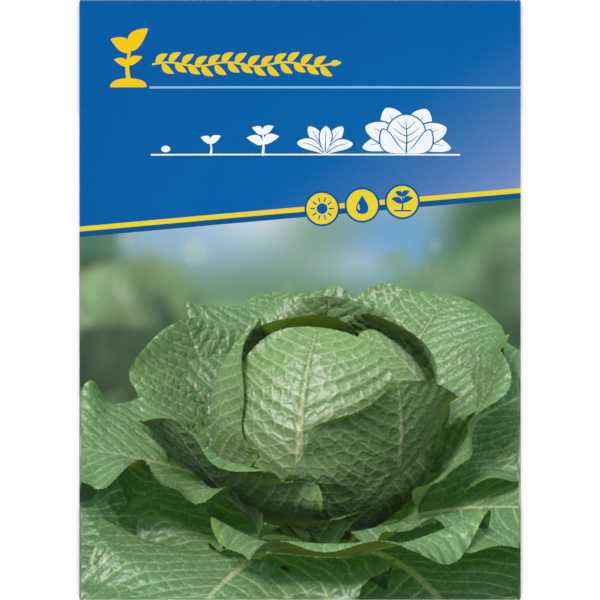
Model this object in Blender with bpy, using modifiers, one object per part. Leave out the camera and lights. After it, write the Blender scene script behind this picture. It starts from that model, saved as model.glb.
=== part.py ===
"""Seed packet: a flat printed paper envelope with a foil sachet of seeds inside.

The packet lies on its back with the printed front facing up (+Z). +X runs
across the packet and +Y runs towards its closed top edge. Units are metres.

The envelope is one sheet of coated paper. It starts as a flat blank, and every
point of the blank is carried through the folds: two side folds make a tube
with a glued seam down the middle of the back, then a flap at each end of the
front panel turns round the tube's end and is glued to the back.
"""

import math

import bmesh
import bpy
from mathutils import Matrix, Vector

# ---------------------------------------------------------------- dimensions
MM = 0.001

PACKET_W = 117.7 * MM          # across, over the side folds
PACKET_H = 160.0 * MM          # top edge to bottom edge, over the end folds
PAPER_T = 0.20 * MM            # coated paper

FLAP_Z = 0.10 * MM             # mid-plane heights of the stacked layers
BACK_Z = 0.50 * MM
SEAM_Z = 0.90 * MM             # the layer that runs under the other at the seam
FRONT_EDGE_Z = 1.00 * MM       # front panel along the side folds
FRONT_END_Z = 1.30 * MM        # front panel at the middle of each end fold
FRONT_TOP_Z = 4.30 * MM        # front panel over the sachet

SEAM_HALF = 6.0 * MM           # half the overlap of the back seam
SEAM_RAMP = 7.5 * MM           # length over which the inner layer steps up
BACK_END_Y = 78.8 * MM         # the back panels stop short of the end folds
TOP_FLAP = 22.0 * MM
BOTTOM_FLAP = 18.0 * MM
FLAP_MARGIN = 0.9 * MM         # the flaps are this much narrower, each side
FLAP_TAPER = 3.2 * MM          # and narrow this much more to their free edge

GLUE_T = 0.10 * MM

SACHET_W = 60.0 * MM
SACHET_H = 84.0 * MM
SEAL = 6.0 * MM                # heat-sealed rim
SACHET_RAMP = 9.0 * MM         # from the rim up to the filled middle
FILM_T = 0.12 * MM
BACK_FILM_Z = 1.21 * MM
FRONT_FILM_RIM_Z = 1.41 * MM
FRONT_FILM_TOP_Z = 3.91 * MM

SEED_FLOOR_Z = 1.32 * MM
SEED_COLUMNS = 4
SEED_ROWS = 5
SEED_PITCH_X = 8.0 * MM
SEED_PITCH_Y = 12.0 * MM
# length, width and thickness of the five seed sizes in the sachet
SEED_SIZES = (
    (7.2 * MM, 3.5 * MM, 2.30 * MM),
    (6.6 * MM, 3.3 * MM, 2.20 * MM),
    (7.5 * MM, 3.6 * MM, 2.35 * MM),
    (6.2 * MM, 3.4 * MM, 2.25 * MM),
    (6.9 * MM, 3.2 * MM, 2.10 * MM),
)

FOLD_STEPS = 6                 # flat strips in each 180 degree fold

# ------------------------------------------------------------ derived values
MID_X = PACKET_W / 2 - PAPER_T / 2             # outermost mid-surface, side
MID_Y = PACKET_H / 2 - PAPER_T / 2             # outermost mid-surface, end
SIDE_R = (FRONT_EDGE_Z - BACK_Z) / 2           # side fold radius
FRONT_X = MID_X - SIDE_R                       # side fold line on the front
PLATEAU_X = 16.0 * MM
PLATEAU_Y = 28.0 * MM


def smooth(t):
    t = min(max(t, 0.0), 1.0)
    return t * t * (3.0 - 2.0 * t)


def end_height(x):
    """Mid-surface height of the front panel along its end folds."""
    fall = smooth((abs(x) - PLATEAU_X) / (FRONT_X - PLATEAU_X))
    return FRONT_EDGE_Z + (FRONT_END_Z - FRONT_EDGE_Z) * (1.0 - fall)


def end_radius(x):
    return (end_height(x) - FLAP_Z) / 2


def front_height(x, y):
    """The front panel rises gently over the sachet and is low at its edges."""
    across = 1.0 - smooth((abs(x) - PLATEAU_X) / (FRONT_X - PLATEAU_X))
    along = 1.0 - smooth((abs(y) - PLATEAU_Y) / (MID_Y - PLATEAU_Y))
    base = end_height(x)
    return base + (FRONT_TOP_Z - FRONT_END_Z) * across * along


def left_back_height(x):
    """The left back panel steps up to run above the right one at the seam."""
    return BACK_Z + (SEAM_Z - BACK_Z) * smooth(
        (x + SEAM_HALF + 1.2 * MM + SEAM_RAMP) / SEAM_RAMP
    )


# ------------------------------------------------------------------- helpers
def clear_scene():
    for obj in list(bpy.data.objects):
        bpy.data.objects.remove(obj, do_unlink=True)


def material(name, colour, roughness, metallic=0.0):
    mat = bpy.data.materials.new(name)
    mat.use_nodes = True
    shader = mat.node_tree.nodes["Principled BSDF"]
    shader.inputs["Base Color"].default_value = (*colour, 1.0)
    shader.inputs["Roughness"].default_value = roughness
    shader.inputs["Metallic"].default_value = metallic
    mat.diffuse_color = (*colour, 1.0)
    return mat


def add_object(name, mesh, collection, mat, parent):
    obj = bpy.data.objects.new(name, mesh)
    collection.objects.link(obj)
    obj.data.materials.append(mat)
    obj.parent = parent
    return obj


def solidify(obj, thickness):
    """Gives an open sheet its thickness, half on each side."""
    mod = obj.modifiers.new("Thickness", "SOLIDIFY")
    mod.thickness = thickness
    mod.offset = 0.0
    mod.use_even_offset = True
    mod.use_rim = True
    return mod


def spread(start, stop, count):
    """count + 1 evenly spaced values."""
    return [start + (stop - start) * i / count for i in range(count + 1)]


# ------------------------------------------------------------ envelope blank
def blank_columns():
    """(zone, position) of each line of the blank from one free edge to the
    other. Position is x on a panel and the turned angle on a fold."""
    cols = [("left", x) for x in (6.0, 0.0, -6.0, -7.2, -9.1, -11.0, -12.9, -14.7)]
    cols += [("left", x) for x in (-22.0, -31.0, -40.0, -49.0)]
    cols = [(zone, x * MM) for zone, x in cols]
    for i in range(FOLD_STEPS + 1):
        cols.append(("left_fold", math.pi * i / FOLD_STEPS))
    flap_x = FRONT_X - FLAP_MARGIN
    inner = spread(-flap_x, flap_x, 16)
    cols += [("front", x) for x in inner]
    for i in range(FOLD_STEPS + 1):
        cols.append(("right_fold", math.pi * i / FOLD_STEPS))
    cols += [("right", x * MM) for x in (49.0, 40.0, 31.0, 22.0, 13.0, 6.0, 0.0, -6.0)]
    return cols


def body_rows():
    """Row parameters of the tube, -1 at the bottom end and +1 at the top."""
    rows = spread(-0.94, 0.94, 18)
    return [-1.0] + rows + [1.0]


def tube_point(zone, pos, v):
    """A point of the folded tube. v runs from -1 to +1 along the packet."""
    if zone == "front":
        y = v * (MID_Y - end_radius(pos))
        return Vector((pos, y, front_height(pos, y)))
    if zone in ("left", "right"):
        z = left_back_height(pos) if zone == "left" else BACK_Z
        return Vector((pos, v * BACK_END_Y, z))
    # side folds: the turned angle is 0 where the fold meets the panel that
    # comes first in the list of columns
    side = -1.0 if zone == "left_fold" else 1.0
    turned = pos if zone == "left_fold" else math.pi - pos
    x = side * (FRONT_X + SIDE_R * math.sin(turned))
    z = (BACK_Z + FRONT_EDGE_Z) / 2 - SIDE_R * math.cos(turned)
    share = turned / math.pi
    y_end = BACK_END_Y + (MID_Y - 0.05 * MM - BACK_END_Y) * share
    return Vector((x, v * y_end, z))


def flap_point(x, step, length, top):
    """step runs 0 to FOLD_STEPS round the end fold, then on along the flap."""
    sign = 1.0 if top else -1.0
    radius = end_radius(x)
    centre = MID_Y - radius
    if step <= FOLD_STEPS:
        turned = math.pi * step / FOLD_STEPS
        y = centre + radius * math.sin(turned)
        z = FLAP_Z + radius + radius * math.cos(turned)
        return Vector((x, sign * y, z))
    share = step - FOLD_STEPS                      # 0..1 along the flat flap
    y = centre - share * (length - (MID_Y - centre))
    taper = FLAP_TAPER * share / (FRONT_X - FLAP_MARGIN)
    return Vector((x * (1.0 - taper), sign * y, FLAP_Z))


def build_envelope(collection, mat, parent):
    """Starts from a flat grid, cuts the blank's corners away, and folds it."""
    cols, rows = blank_columns(), body_rows()
    flap_steps = [float(i) for i in range(1, FOLD_STEPS + 1)]
    flap_steps += [FOLD_STEPS + s for s in (0.25, 0.5, 0.75, 1.0)]
    below = [("bottom", s) for s in reversed(flap_steps)]
    above = [("top", s) for s in flap_steps]
    lines = below + [("body", v) for v in rows] + above

    mesh = bpy.data.meshes.new("packet_sheet")
    bm = bmesh.new()
    bmesh.ops.create_grid(
        bm, x_segments=len(cols) - 1, y_segments=len(lines) - 1, size=1.0
    )
    bm.verts.ensure_lookup_table()
    # the grid's vertices lie at evenly spaced places between -1 and 1
    cell = {}
    for vert in bm.verts:
        i = round((vert.co.x + 1.0) / 2.0 * (len(cols) - 1))
        j = round((vert.co.y + 1.0) / 2.0 * (len(lines) - 1))
        cell[vert] = (i, j)
    unwanted = []
    for vert, (i, j) in cell.items():
        zone, pos = cols[i]
        kind, where = lines[j]
        if kind != "body" and zone != "front":
            unwanted.append(vert)
        elif kind == "body":
            vert.co = tube_point(zone, pos, where)
        else:
            length = TOP_FLAP if kind == "top" else BOTTOM_FLAP
            vert.co = flap_point(pos, where, length, kind == "top")
    bmesh.ops.delete(bm, geom=unwanted, context="VERTS")
    bm.to_mesh(mesh)
    bm.free()
    sheet = add_object("packet_sheet", mesh, collection, mat, parent)
    solidify(sheet, PAPER_T)
    mesh.shade_smooth()
    mesh.set_sharp_from_angle(angle=math.radians(50))
    return sheet


# ---------------------------------------------------------------- glue strip
def build_glue(name, size, centre, collection, mat, parent):
    mesh = bpy.data.meshes.new(name)
    bm = bmesh.new()
    bmesh.ops.create_cube(bm, size=1.0)
    bmesh.ops.scale(bm, vec=size, verts=bm.verts)
    bm.to_mesh(mesh)
    bm.free()
    strip = add_object(name, mesh, collection, mat, parent)
    strip.location = centre
    ends = strip.modifiers.new("Round ends", "BEVEL")
    ends.width = 0.9 * min(size[0], size[1]) / 2
    ends.segments = 4
    ends.limit_method = "WEIGHT"
    weight = mesh.attributes.new("bevel_weight_edge", "FLOAT", "EDGE")
    for edge in mesh.edges:
        a, b = (mesh.vertices[k].co for k in edge.vertices)
        upright = abs(a.z - b.z) > size[2] / 2
        weight.data[edge.index].value = 1.0 if upright else 0.0
    return strip


# -------------------------------------------------------------------- sachet
def film_height(x, y):
    inner_x, inner_y = SACHET_W / 2 - SEAL, SACHET_H / 2 - SEAL
    rise = smooth((inner_x - abs(x)) / SACHET_RAMP) * smooth(
        (inner_y - abs(y)) / SACHET_RAMP
    )
    return FRONT_FILM_RIM_Z + (FRONT_FILM_TOP_Z - FRONT_FILM_RIM_Z) * rise


def build_film(name, height, cols, rows, collection, mat, parent):
    mesh = bpy.data.meshes.new(name)
    bm = bmesh.new()
    bmesh.ops.create_grid(bm, x_segments=cols, y_segments=rows, size=1.0)
    for vert in bm.verts:
        x, y = vert.co.x * SACHET_W / 2, vert.co.y * SACHET_H / 2
        vert.co = Vector((x, y, height(x, y)))
    bm.to_mesh(mesh)
    bm.free()
    film = add_object(name, mesh, collection, mat, parent)
    solidify(film, FILM_T)
    mesh.shade_smooth()
    return film


# --------------------------------------------------------------------- seeds
def seed_mesh(index, size):
    """A plump achene: blunt at one end, narrower at the other, with four
    low ribs along it and a flatter underside."""
    length, width, thick = size
    mesh = bpy.data.meshes.new(f"seed_shape_{index}")
    bm = bmesh.new()
    bmesh.ops.create_uvsphere(bm, u_segments=12, v_segments=10, radius=1.0)
    for vert in bm.verts:
        # the sphere's poles become the two ends of the seed
        along, a, b = vert.co.z, vert.co.x, vert.co.y
        girth = 1.0 + 0.16 * along - 0.10 * along * along
        around = math.atan2(b, a)
        rib = 1.0 + 0.045 * math.cos(4.0 * around) * (1.0 - along * along)
        vert.co = Vector(
            (
                along * length / 2,
                a * girth * rib * width / 2,
                b * girth * rib * thick / 2 * (0.93 if b < 0 else 1.0),
            )
        )
    bm.to_mesh(mesh)
    bm.free()
    mesh.shade_smooth()
    return mesh


def build_seeds(collection, mat, parent):
    shapes = [seed_mesh(i, size) for i, size in enumerate(SEED_SIZES)]
    lows = [min(v.co.z for v in shape.vertices) for shape in shapes]
    for shape in shapes:
        shape.materials.append(mat)
    number = 0
    for row in range(SEED_ROWS):
        for col in range(SEED_COLUMNS):
            number += 1
            kind = (3 * row + 2 * col + row * col) % len(shapes)
            seed = bpy.data.objects.new(f"seed_{number:02d}", shapes[kind])
            collection.objects.link(seed)
            seed.parent = parent
            shift = 0.35 * MM * math.sin(2.1 * number)
            seed.location = (
                (col - (SEED_COLUMNS - 1) / 2) * SEED_PITCH_X + shift,
                (row - (SEED_ROWS - 1) / 2) * SEED_PITCH_Y
                + 0.8 * MM * math.cos(1.7 * number),
                SEED_FLOOR_Z - lows[kind],
            )
            # each lies at its own angle, within what its cell leaves free
            seed.rotation_euler = (0.0, 0.0, 2.399963 * number)
    return number


# --------------------------------------------------------------------- build
def main():
    clear_scene()
    scene = bpy.context.scene
    scene.unit_settings.system = "METRIC"
    scene.unit_settings.scale_length = 1.0
    collection = bpy.data.collections.new("seed_packet")
    scene.collection.children.link(collection)
    root = bpy.data.objects.new("packet_root", None)
    root.empty_display_size = 0.02
    collection.objects.link(root)

    paper = material("printed_paper", (0.010, 0.105, 0.375), 0.42)
    glue = material("adhesive", (0.82, 0.78, 0.66), 0.35)
    foil_out = material("foil_front", (0.78, 0.79, 0.80), 0.28, 1.0)
    foil_in = material("foil_back", (0.74, 0.75, 0.77), 0.34, 1.0)
    husk = material("seed_husk", (0.17, 0.105, 0.060), 0.55)

    build_envelope(collection, paper, root)

    glue_z = (FLAP_Z + BACK_Z) / 2
    build_glue(
        "back_seam_glue",
        (8.0 * MM, 146.0 * MM, GLUE_T),
        (0.0, 0.0, (BACK_Z + SEAM_Z) / 2),
        collection, glue, root,
    )
    build_glue(
        "top_flap_glue",
        (98.0 * MM, 9.0 * MM, GLUE_T),
        (0.0, MID_Y - TOP_FLAP + 8.0 * MM, glue_z),
        collection, glue, root,
    )
    build_glue(
        "bottom_flap_glue",
        (98.0 * MM, 9.0 * MM, GLUE_T),
        (0.0, -(MID_Y - BOTTOM_FLAP + 7.0 * MM), glue_z),
        collection, glue, root,
    )

    build_film(
        "sachet_back_film", lambda x, y: BACK_FILM_Z, 6, 8, collection, foil_in, root
    )
    build_film("sachet_front_film", film_height, 20, 28, collection, foil_out, root)
    build_seeds(collection, husk, root)

    root.matrix_world = Matrix.Identity(4)
    bpy.context.view_layer.update()


main()
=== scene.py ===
"""Looks of the seed packet: its printed and folded paper, foil sachet and seeds.

Print coordinates are pixels of a 600 px high front with y up: 160 mm of paper
is 600 px, and the front panel spans x = 79.3 to 520.7. Blank coordinates are
millimetres on the unfolded sheet, with the front panel's middle at 0, 0.
"""

import math

import bmesh
import bpy
import numpy as np
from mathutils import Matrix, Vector, kdtree
from mathutils.bvhtree import BVHTree
from mathutils.geometry import delaunay_2d_cdt


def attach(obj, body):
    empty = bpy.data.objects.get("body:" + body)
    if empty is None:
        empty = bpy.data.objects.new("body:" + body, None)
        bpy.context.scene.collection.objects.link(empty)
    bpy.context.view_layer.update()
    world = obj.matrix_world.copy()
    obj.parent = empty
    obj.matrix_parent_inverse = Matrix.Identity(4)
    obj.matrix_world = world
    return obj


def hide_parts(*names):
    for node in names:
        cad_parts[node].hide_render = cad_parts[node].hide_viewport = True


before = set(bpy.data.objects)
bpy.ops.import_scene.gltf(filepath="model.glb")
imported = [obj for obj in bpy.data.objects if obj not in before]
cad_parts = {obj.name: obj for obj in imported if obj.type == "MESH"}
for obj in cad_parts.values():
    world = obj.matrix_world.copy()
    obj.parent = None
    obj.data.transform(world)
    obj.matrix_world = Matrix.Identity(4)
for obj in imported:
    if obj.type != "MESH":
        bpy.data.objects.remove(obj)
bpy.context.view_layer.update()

PI = math.pi
PX = 160.0 / 600.0  # millimetres of paper to a print pixel

# ------------------------------------------------------------ sheet dimensions
# The same folded sheet as the CAD's, in millimetres.
PAPER_T = 0.20
FLAP_Z, BACK_Z, SEAM_Z = 0.10, 0.50, 0.90
FRONT_EDGE_Z, FRONT_END_Z, FRONT_TOP_Z = 1.00, 1.30, 4.30
MID_X, MID_Y = 117.7 / 2 - 0.1, 80.0 - 0.1
SIDE_R = (FRONT_EDGE_Z - BACK_Z) / 2
FRONT_X = MID_X - SIDE_R
FOLD_S = PI * SIDE_R  # paper used by a side fold
PLATEAU_X, PLATEAU_Y = 16.0, 28.0
SEAM_HALF, SEAM_RAMP = 6.0, 7.5
BACK_END_Y = 78.8
TOP_FLAP, BOTTOM_FLAP = 22.0, 18.0
FLAP_X = FRONT_X - 0.9
FLAP_TAPER = 3.2
BODY_T = 79.4  # blank height of the end fold lines
FOLD_T = 1.65  # paper used by an end fold
CORNER_W = 0.15  # width over which the sheet turns from an end fold to its cut end
DENT = 0.12  # depth of the paper's unevenness
END_R = 0.6  # largest radius of an end fold
PRINT_EDGE = FRONT_X + FOLD_S / 2 + 0.06  # the front's print ends just past the fold
BACK_S = FRONT_X + FOLD_S  # where the back panels begin
BLANK_S = BACK_S + FRONT_X + SEAM_HALF


def smooth(t):
    t = np.clip(t, 0.0, 1.0)
    return t * t * (3.0 - 2.0 * t)


def step(lo, hi, x):
    return smooth((x - lo) / (hi - lo))


def end_height(x):
    fall = smooth((np.abs(x) - PLATEAU_X) / (FRONT_X - PLATEAU_X))
    return FRONT_EDGE_Z + (FRONT_END_Z - FRONT_EDGE_Z) * (1.0 - fall)


def front_height(x, y):
    across = 1.0 - smooth((np.abs(x) - PLATEAU_X) / (FRONT_X - PLATEAU_X))
    along = 1.0 - smooth((np.abs(y) - PLATEAU_Y) / (MID_Y - PLATEAU_Y))
    dome = end_height(x) + (FRONT_TOP_Z - FRONT_END_Z) * across * along
    # the paper is a little uneven, and flat again along its folds
    free = smooth((FRONT_X - np.abs(x)) / 10.0) * smooth((MID_Y - np.abs(y)) / 10.0)
    uneven = 0.62 * noise(x / 17.0 + 40.3, y / 21.0 + 40.7, 61)
    uneven = uneven + 0.38 * noise(x / 8.0 + y / 30.0 + 70.0, y / 9.5 + 70.0, 62)
    return dome - DENT * free * uneven


def left_back_height(x):
    return BACK_Z + (SEAM_Z - BACK_Z) * smooth(
        (x + SEAM_HALF + 1.2 + SEAM_RAMP) / SEAM_RAMP
    )


def sheet_point(s, t, off):
    """Blank coordinates to the folded sheet, moved off millimetres outwards."""
    s, t = np.asarray(s, float), np.asarray(t, float)
    a, sg = np.abs(s), np.where(s < 0, -1.0, 1.0)
    turned = np.clip((a - FRONT_X) / SIDE_R, 0.0, PI)
    front, back = a <= FRONT_X, a >= BACK_S - 1e-6
    x = np.where(front, s, sg * (FRONT_X + SIDE_R * np.sin(turned)))
    x = np.where(back, sg * (FRONT_X - (a - BACK_S)), x)
    radius = (end_height(x) - FLAP_Z) / 2
    corner = np.clip((np.abs(x) - FLAP_X) / CORNER_W, 0.0, 1.0)
    corner_y = MID_Y + 0.093
    y_front = (MID_Y - radius) * (1 - corner) + corner_y * corner
    y_side = corner_y + (BACK_END_Y - corner_y) * turned / PI
    near_end = smooth((np.abs(t) / BODY_T - 0.93) / 0.07) * np.where(t < 0, -1.0, 1.0)
    y = t + near_end * (np.where(front, y_front, y_side) - BODY_T)
    z = np.where(
        front,
        front_height(x, y),
        (BACK_Z + FRONT_EDGE_Z) / 2 + SIDE_R * np.cos(turned),
    )
    z = np.where(back, np.where(s < 0, left_back_height(x), BACK_Z), z)
    h = 0.05
    nx = np.where(
        front, -(front_height(x + h, y) - front_height(x - h, y)) / (2 * h), 0.0
    )
    ny = np.where(
        front, -(front_height(x, y + h) - front_height(x, y - h)) / (2 * h), 0.0
    )
    nz = np.where(back, -1.0, np.where(front, 1.0, np.cos(turned)))
    nx = np.where(~front & ~back, sg * np.sin(turned), nx)
    slope = (left_back_height(x + h) - left_back_height(x - h)) / (2 * h)
    nx = np.where(back & (s < 0), slope, nx)
    # past an end fold line
    over = (np.abs(t) > BODY_T + 1e-4) & (a < FLAP_X + 0.01)
    ts = np.where(t < 0, -1.0, 1.0)
    bent = np.clip((np.abs(t) - BODY_T) / FOLD_T, 0.0, 1.0) * PI
    flat = np.maximum(np.abs(t) - BODY_T - FOLD_T, 0.0)
    y = np.where(over, ts * (MID_Y - radius + radius * np.sin(bent) - flat), y)
    z = np.where(over, FLAP_Z + radius + radius * np.cos(bent), z)
    nx = np.where(over, 0.0, nx)
    ny = np.where(over, ts * np.sin(bent), ny)
    nz = np.where(over, np.cos(bent), nz)
    length = np.sqrt(nx * nx + ny * ny + nz * nz)
    return np.stack(
        [x + off * nx / length, y + off * ny / length, z + off * nz / length], -1
    )


# -------------------------------------------------------------- small 2D tools
def rgb(r, g, b):
    """A colour given as it looks on screen, 0 to 255, in scene-linear light."""
    c = np.array([r, g, b], float) / 255.0
    return np.where(c <= 0.04045, c / 12.92, ((c + 0.055) / 1.055) ** 2.4)


def to_linear(c):
    c = np.clip(c, 0.0, 255.0) / 255.0
    return np.where(c <= 0.04045, c / 12.92, ((c + 0.055) / 1.055) ** 2.4)


def lattice(ix, iy, seed):
    """A repeatable value from 0 to 1 for each lattice point."""
    n = (ix.astype(np.int64) * 374761393 + iy.astype(np.int64) * 668265263) ^ (
        seed * 1274126177
    )
    n = (n ^ (n >> 13)) * 1103515245 & 0x7FFFFFFF
    n = (n ^ (n >> 16)) * 12345 + 1013904223 & 0x7FFFFFFF
    return (n & 0xFFFFFF) / float(0xFFFFFF)


def noise(x, y, seed=0):
    """Smooth value noise, 0 to 1, with features about one unit across."""
    ix, iy = np.floor(x), np.floor(y)
    fx, fy = smooth(x - ix), smooth(y - iy)
    a, b = lattice(ix, iy, seed), lattice(ix + 1, iy, seed)
    c, d = lattice(ix, iy + 1, seed), lattice(ix + 1, iy + 1, seed)
    return (a * (1 - fx) + b * fx) * (1 - fy) + (c * (1 - fx) + d * fx) * fy


def fbm(x, y, seed=0, octaves=3):
    total, scale, weight, norm = 0.0, 1.0, 1.0, 0.0
    for k in range(octaves):
        total = total + weight * noise(x * scale, y * scale, seed + 17 * k)
        norm += weight
        scale, weight = scale * 2.03, weight * 0.5
    return total / norm


def signed_distance(px, py, poly):
    """Distance from each point to a closed outline, negative inside it."""
    poly = np.asarray(poly, float)
    a, b = poly, np.roll(poly, -1, axis=0)
    out = np.empty(len(px))
    for k in range(0, len(px), 4000):
        x, y = px[k : k + 4000, None], py[k : k + 4000, None]
        dx, dy = (b - a)[:, 0][None], (b - a)[:, 1][None]
        ax, ay = a[:, 0][None], a[:, 1][None]
        span = np.maximum(dx * dx + dy * dy, 1e-12)
        f = np.clip(((x - ax) * dx + (y - ay) * dy) / span, 0.0, 1.0)
        d2 = (x - ax - f * dx) ** 2 + (y - ay - f * dy) ** 2
        dist = np.sqrt(d2.min(1))
        above = (ay > y) != (ay + dy > y)
        safe = np.where(np.abs(dy) < 1e-12, 1e-12, dy)
        cross = above & (x < dx * (y - ay) / safe + ax)
        inside = cross.sum(1) % 2 == 1
        out[k : k + 4000] = np.where(inside, -dist, dist)
    return out


def inside(px, py, poly):
    a, b = poly, np.roll(poly, -1, axis=0)
    out = np.zeros(len(px), dtype=bool)
    for k in range(0, len(px), 8000):
        x, y = px[k : k + 8000, None], py[k : k + 8000, None]
        above = (a[:, 1] > y) != (b[:, 1] > y)
        rise = np.where(b[:, 1] == a[:, 1], 1.0, b[:, 1] - a[:, 1])
        cross = above & (x < (b[:, 0] - a[:, 0]) * (y - a[:, 1]) / rise + a[:, 0])
        out[k : k + 8000] = cross.sum(1) % 2 == 1
    return out


def near_box(px, py, poly, reach):
    poly = np.asarray(poly)
    lo, hi = poly.min(0) - reach, poly.max(0) + reach
    return (px > lo[0]) & (px < hi[0]) & (py > lo[1]) & (py < hi[1])


def stroke(points, widths):
    """The outline of a line of changing width with rounded ends."""
    pts = np.asarray(points, float)
    w = np.broadcast_to(np.asarray(widths, float), (len(pts),))
    d = np.gradient(pts, axis=0)
    d /= np.maximum(np.linalg.norm(d, axis=1, keepdims=True), 1e-9)
    n = np.stack([-d[:, 1], d[:, 0]], 1)
    left, right = pts + n * w[:, None], pts - n * w[:, None]

    def cap(c, way, side, r):
        return [
            c + r * (side * math.cos(k * PI / 6) + way * math.sin(k * PI / 6))
            for k in range(1, 6)
        ]

    end = cap(pts[-1], d[-1], n[-1], w[-1]) if w[-1] > 0.15 else []
    start = cap(pts[0], -d[0], -n[0], w[0]) if w[0] > 0.15 else []
    return np.array([*left, *end, *right[::-1], *start])


def curve(points, n=24):
    """A smooth line through the points."""
    p = np.asarray(points, float)
    p = np.vstack([2 * p[0] - p[1], p, 2 * p[-1] - p[-2]])
    out = []
    for k in range(1, len(p) - 2):
        for f in np.linspace(0, 1, n, endpoint=False):
            out.append(
                0.5
                * (
                    2 * p[k]
                    + (p[k + 1] - p[k - 1]) * f
                    + (2 * p[k - 1] - 5 * p[k] + 4 * p[k + 1] - p[k + 2]) * f * f
                    + (3 * p[k] - p[k - 1] - 3 * p[k + 1] + p[k + 2]) * f**3
                )
            )
    out.append(p[-2])
    return np.array(out)


def lens(base, tip, width, lean=0.0, n=10):
    """A simple leaf outline from base to tip."""
    base, tip = np.asarray(base, float), np.asarray(tip, float)
    way = tip - base
    side = np.array([-way[1], way[0]]) / np.linalg.norm(way)
    f = np.linspace(0, 1, n + 1)
    bulge = np.sin(PI * f**0.8) ** 0.85
    mid = base + np.outer(f, way) + np.outer(np.sin(PI * f) * lean, side)
    left = mid + np.outer(bulge * width / 2, side)
    right = mid - np.outer(bulge * width / 2, side)
    return np.vstack([left, right[::-1][1:-1]])


def circle(cx, cy, r, n=28, ry=None):
    a = np.arange(n) * 2 * PI / n
    return np.stack([cx + r * np.cos(a), cy + (ry or r) * np.sin(a)], 1)


def box(x0, y0, x1, y1):
    return np.array([[x0, y0], [x1, y0], [x1, y1], [x0, y1]], float)


def rounded(x0, y0, x1, y1, r, n=5):
    out = []
    for cx, cy, a0 in (
        (x1 - r, y0 + r, -90),
        (x1 - r, y1 - r, 0),
        (x0 + r, y1 - r, 90),
        (x0 + r, y0 + r, 180),
    ):
        for k in range(n + 1):
            a = math.radians(a0 + 90 * k / n)
            out.append((cx + r * math.cos(a), cy + r * math.sin(a)))
    return np.array(out)


def to_blank(p):
    """Print pixels on the front to blank millimetres."""
    return (np.asarray(p, float) - 300.0) * PX


def resample(poly, spacing):
    """Adds points along a closed outline's long sides."""
    poly = np.asarray(poly, float)
    out = []
    for a, b in zip(poly, np.roll(poly, -1, axis=0)):
        n = max(1, int(np.ceil(np.linalg.norm(b - a) / spacing)))
        out += [a + (b - a) * k / n for k in range(n)]
    return np.array(out)


# ---------------------------------------------------------------- print palette
YELLOW = rgb(237, 215, 50)
GOLD = rgb(240, 209, 34)
AMBER = rgb(250, 205, 14)
WHITE = rgb(244, 251, 254)
BLUE = rgb(0, 93, 166)
DEEP_BLUE = rgb(8, 85, 146)
PALE_BLUE = rgb(134, 192, 233)
CREAM = rgb(246, 244, 234)


def mix(a, b, f):
    f = np.asarray(f)[..., None] if np.ndim(f) else f
    return a * (1 - f) + b * f


def cells(x, y, seed=0):
    """Distances to the nearest and next nearest of a scatter of points."""
    ix, iy = np.floor(x), np.floor(y)
    first, second = np.full(x.shape, 9.0), np.full(x.shape, 9.0)
    for dx in (-1, 0, 1):
        for dy in (-1, 0, 1):
            cx, cy = ix + dx, iy + dy
            jx = cx + 0.5 + 0.8 * (lattice(cx, cy, seed) - 0.5)
            jy = cy + 0.5 + 0.8 * (lattice(cx, cy, seed + 71) - 0.5)
            d = np.hypot(x - jx, y - jy)
            second = np.minimum(second, np.maximum(first, d))
            first = np.minimum(first, d)
    return first, second


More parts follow.
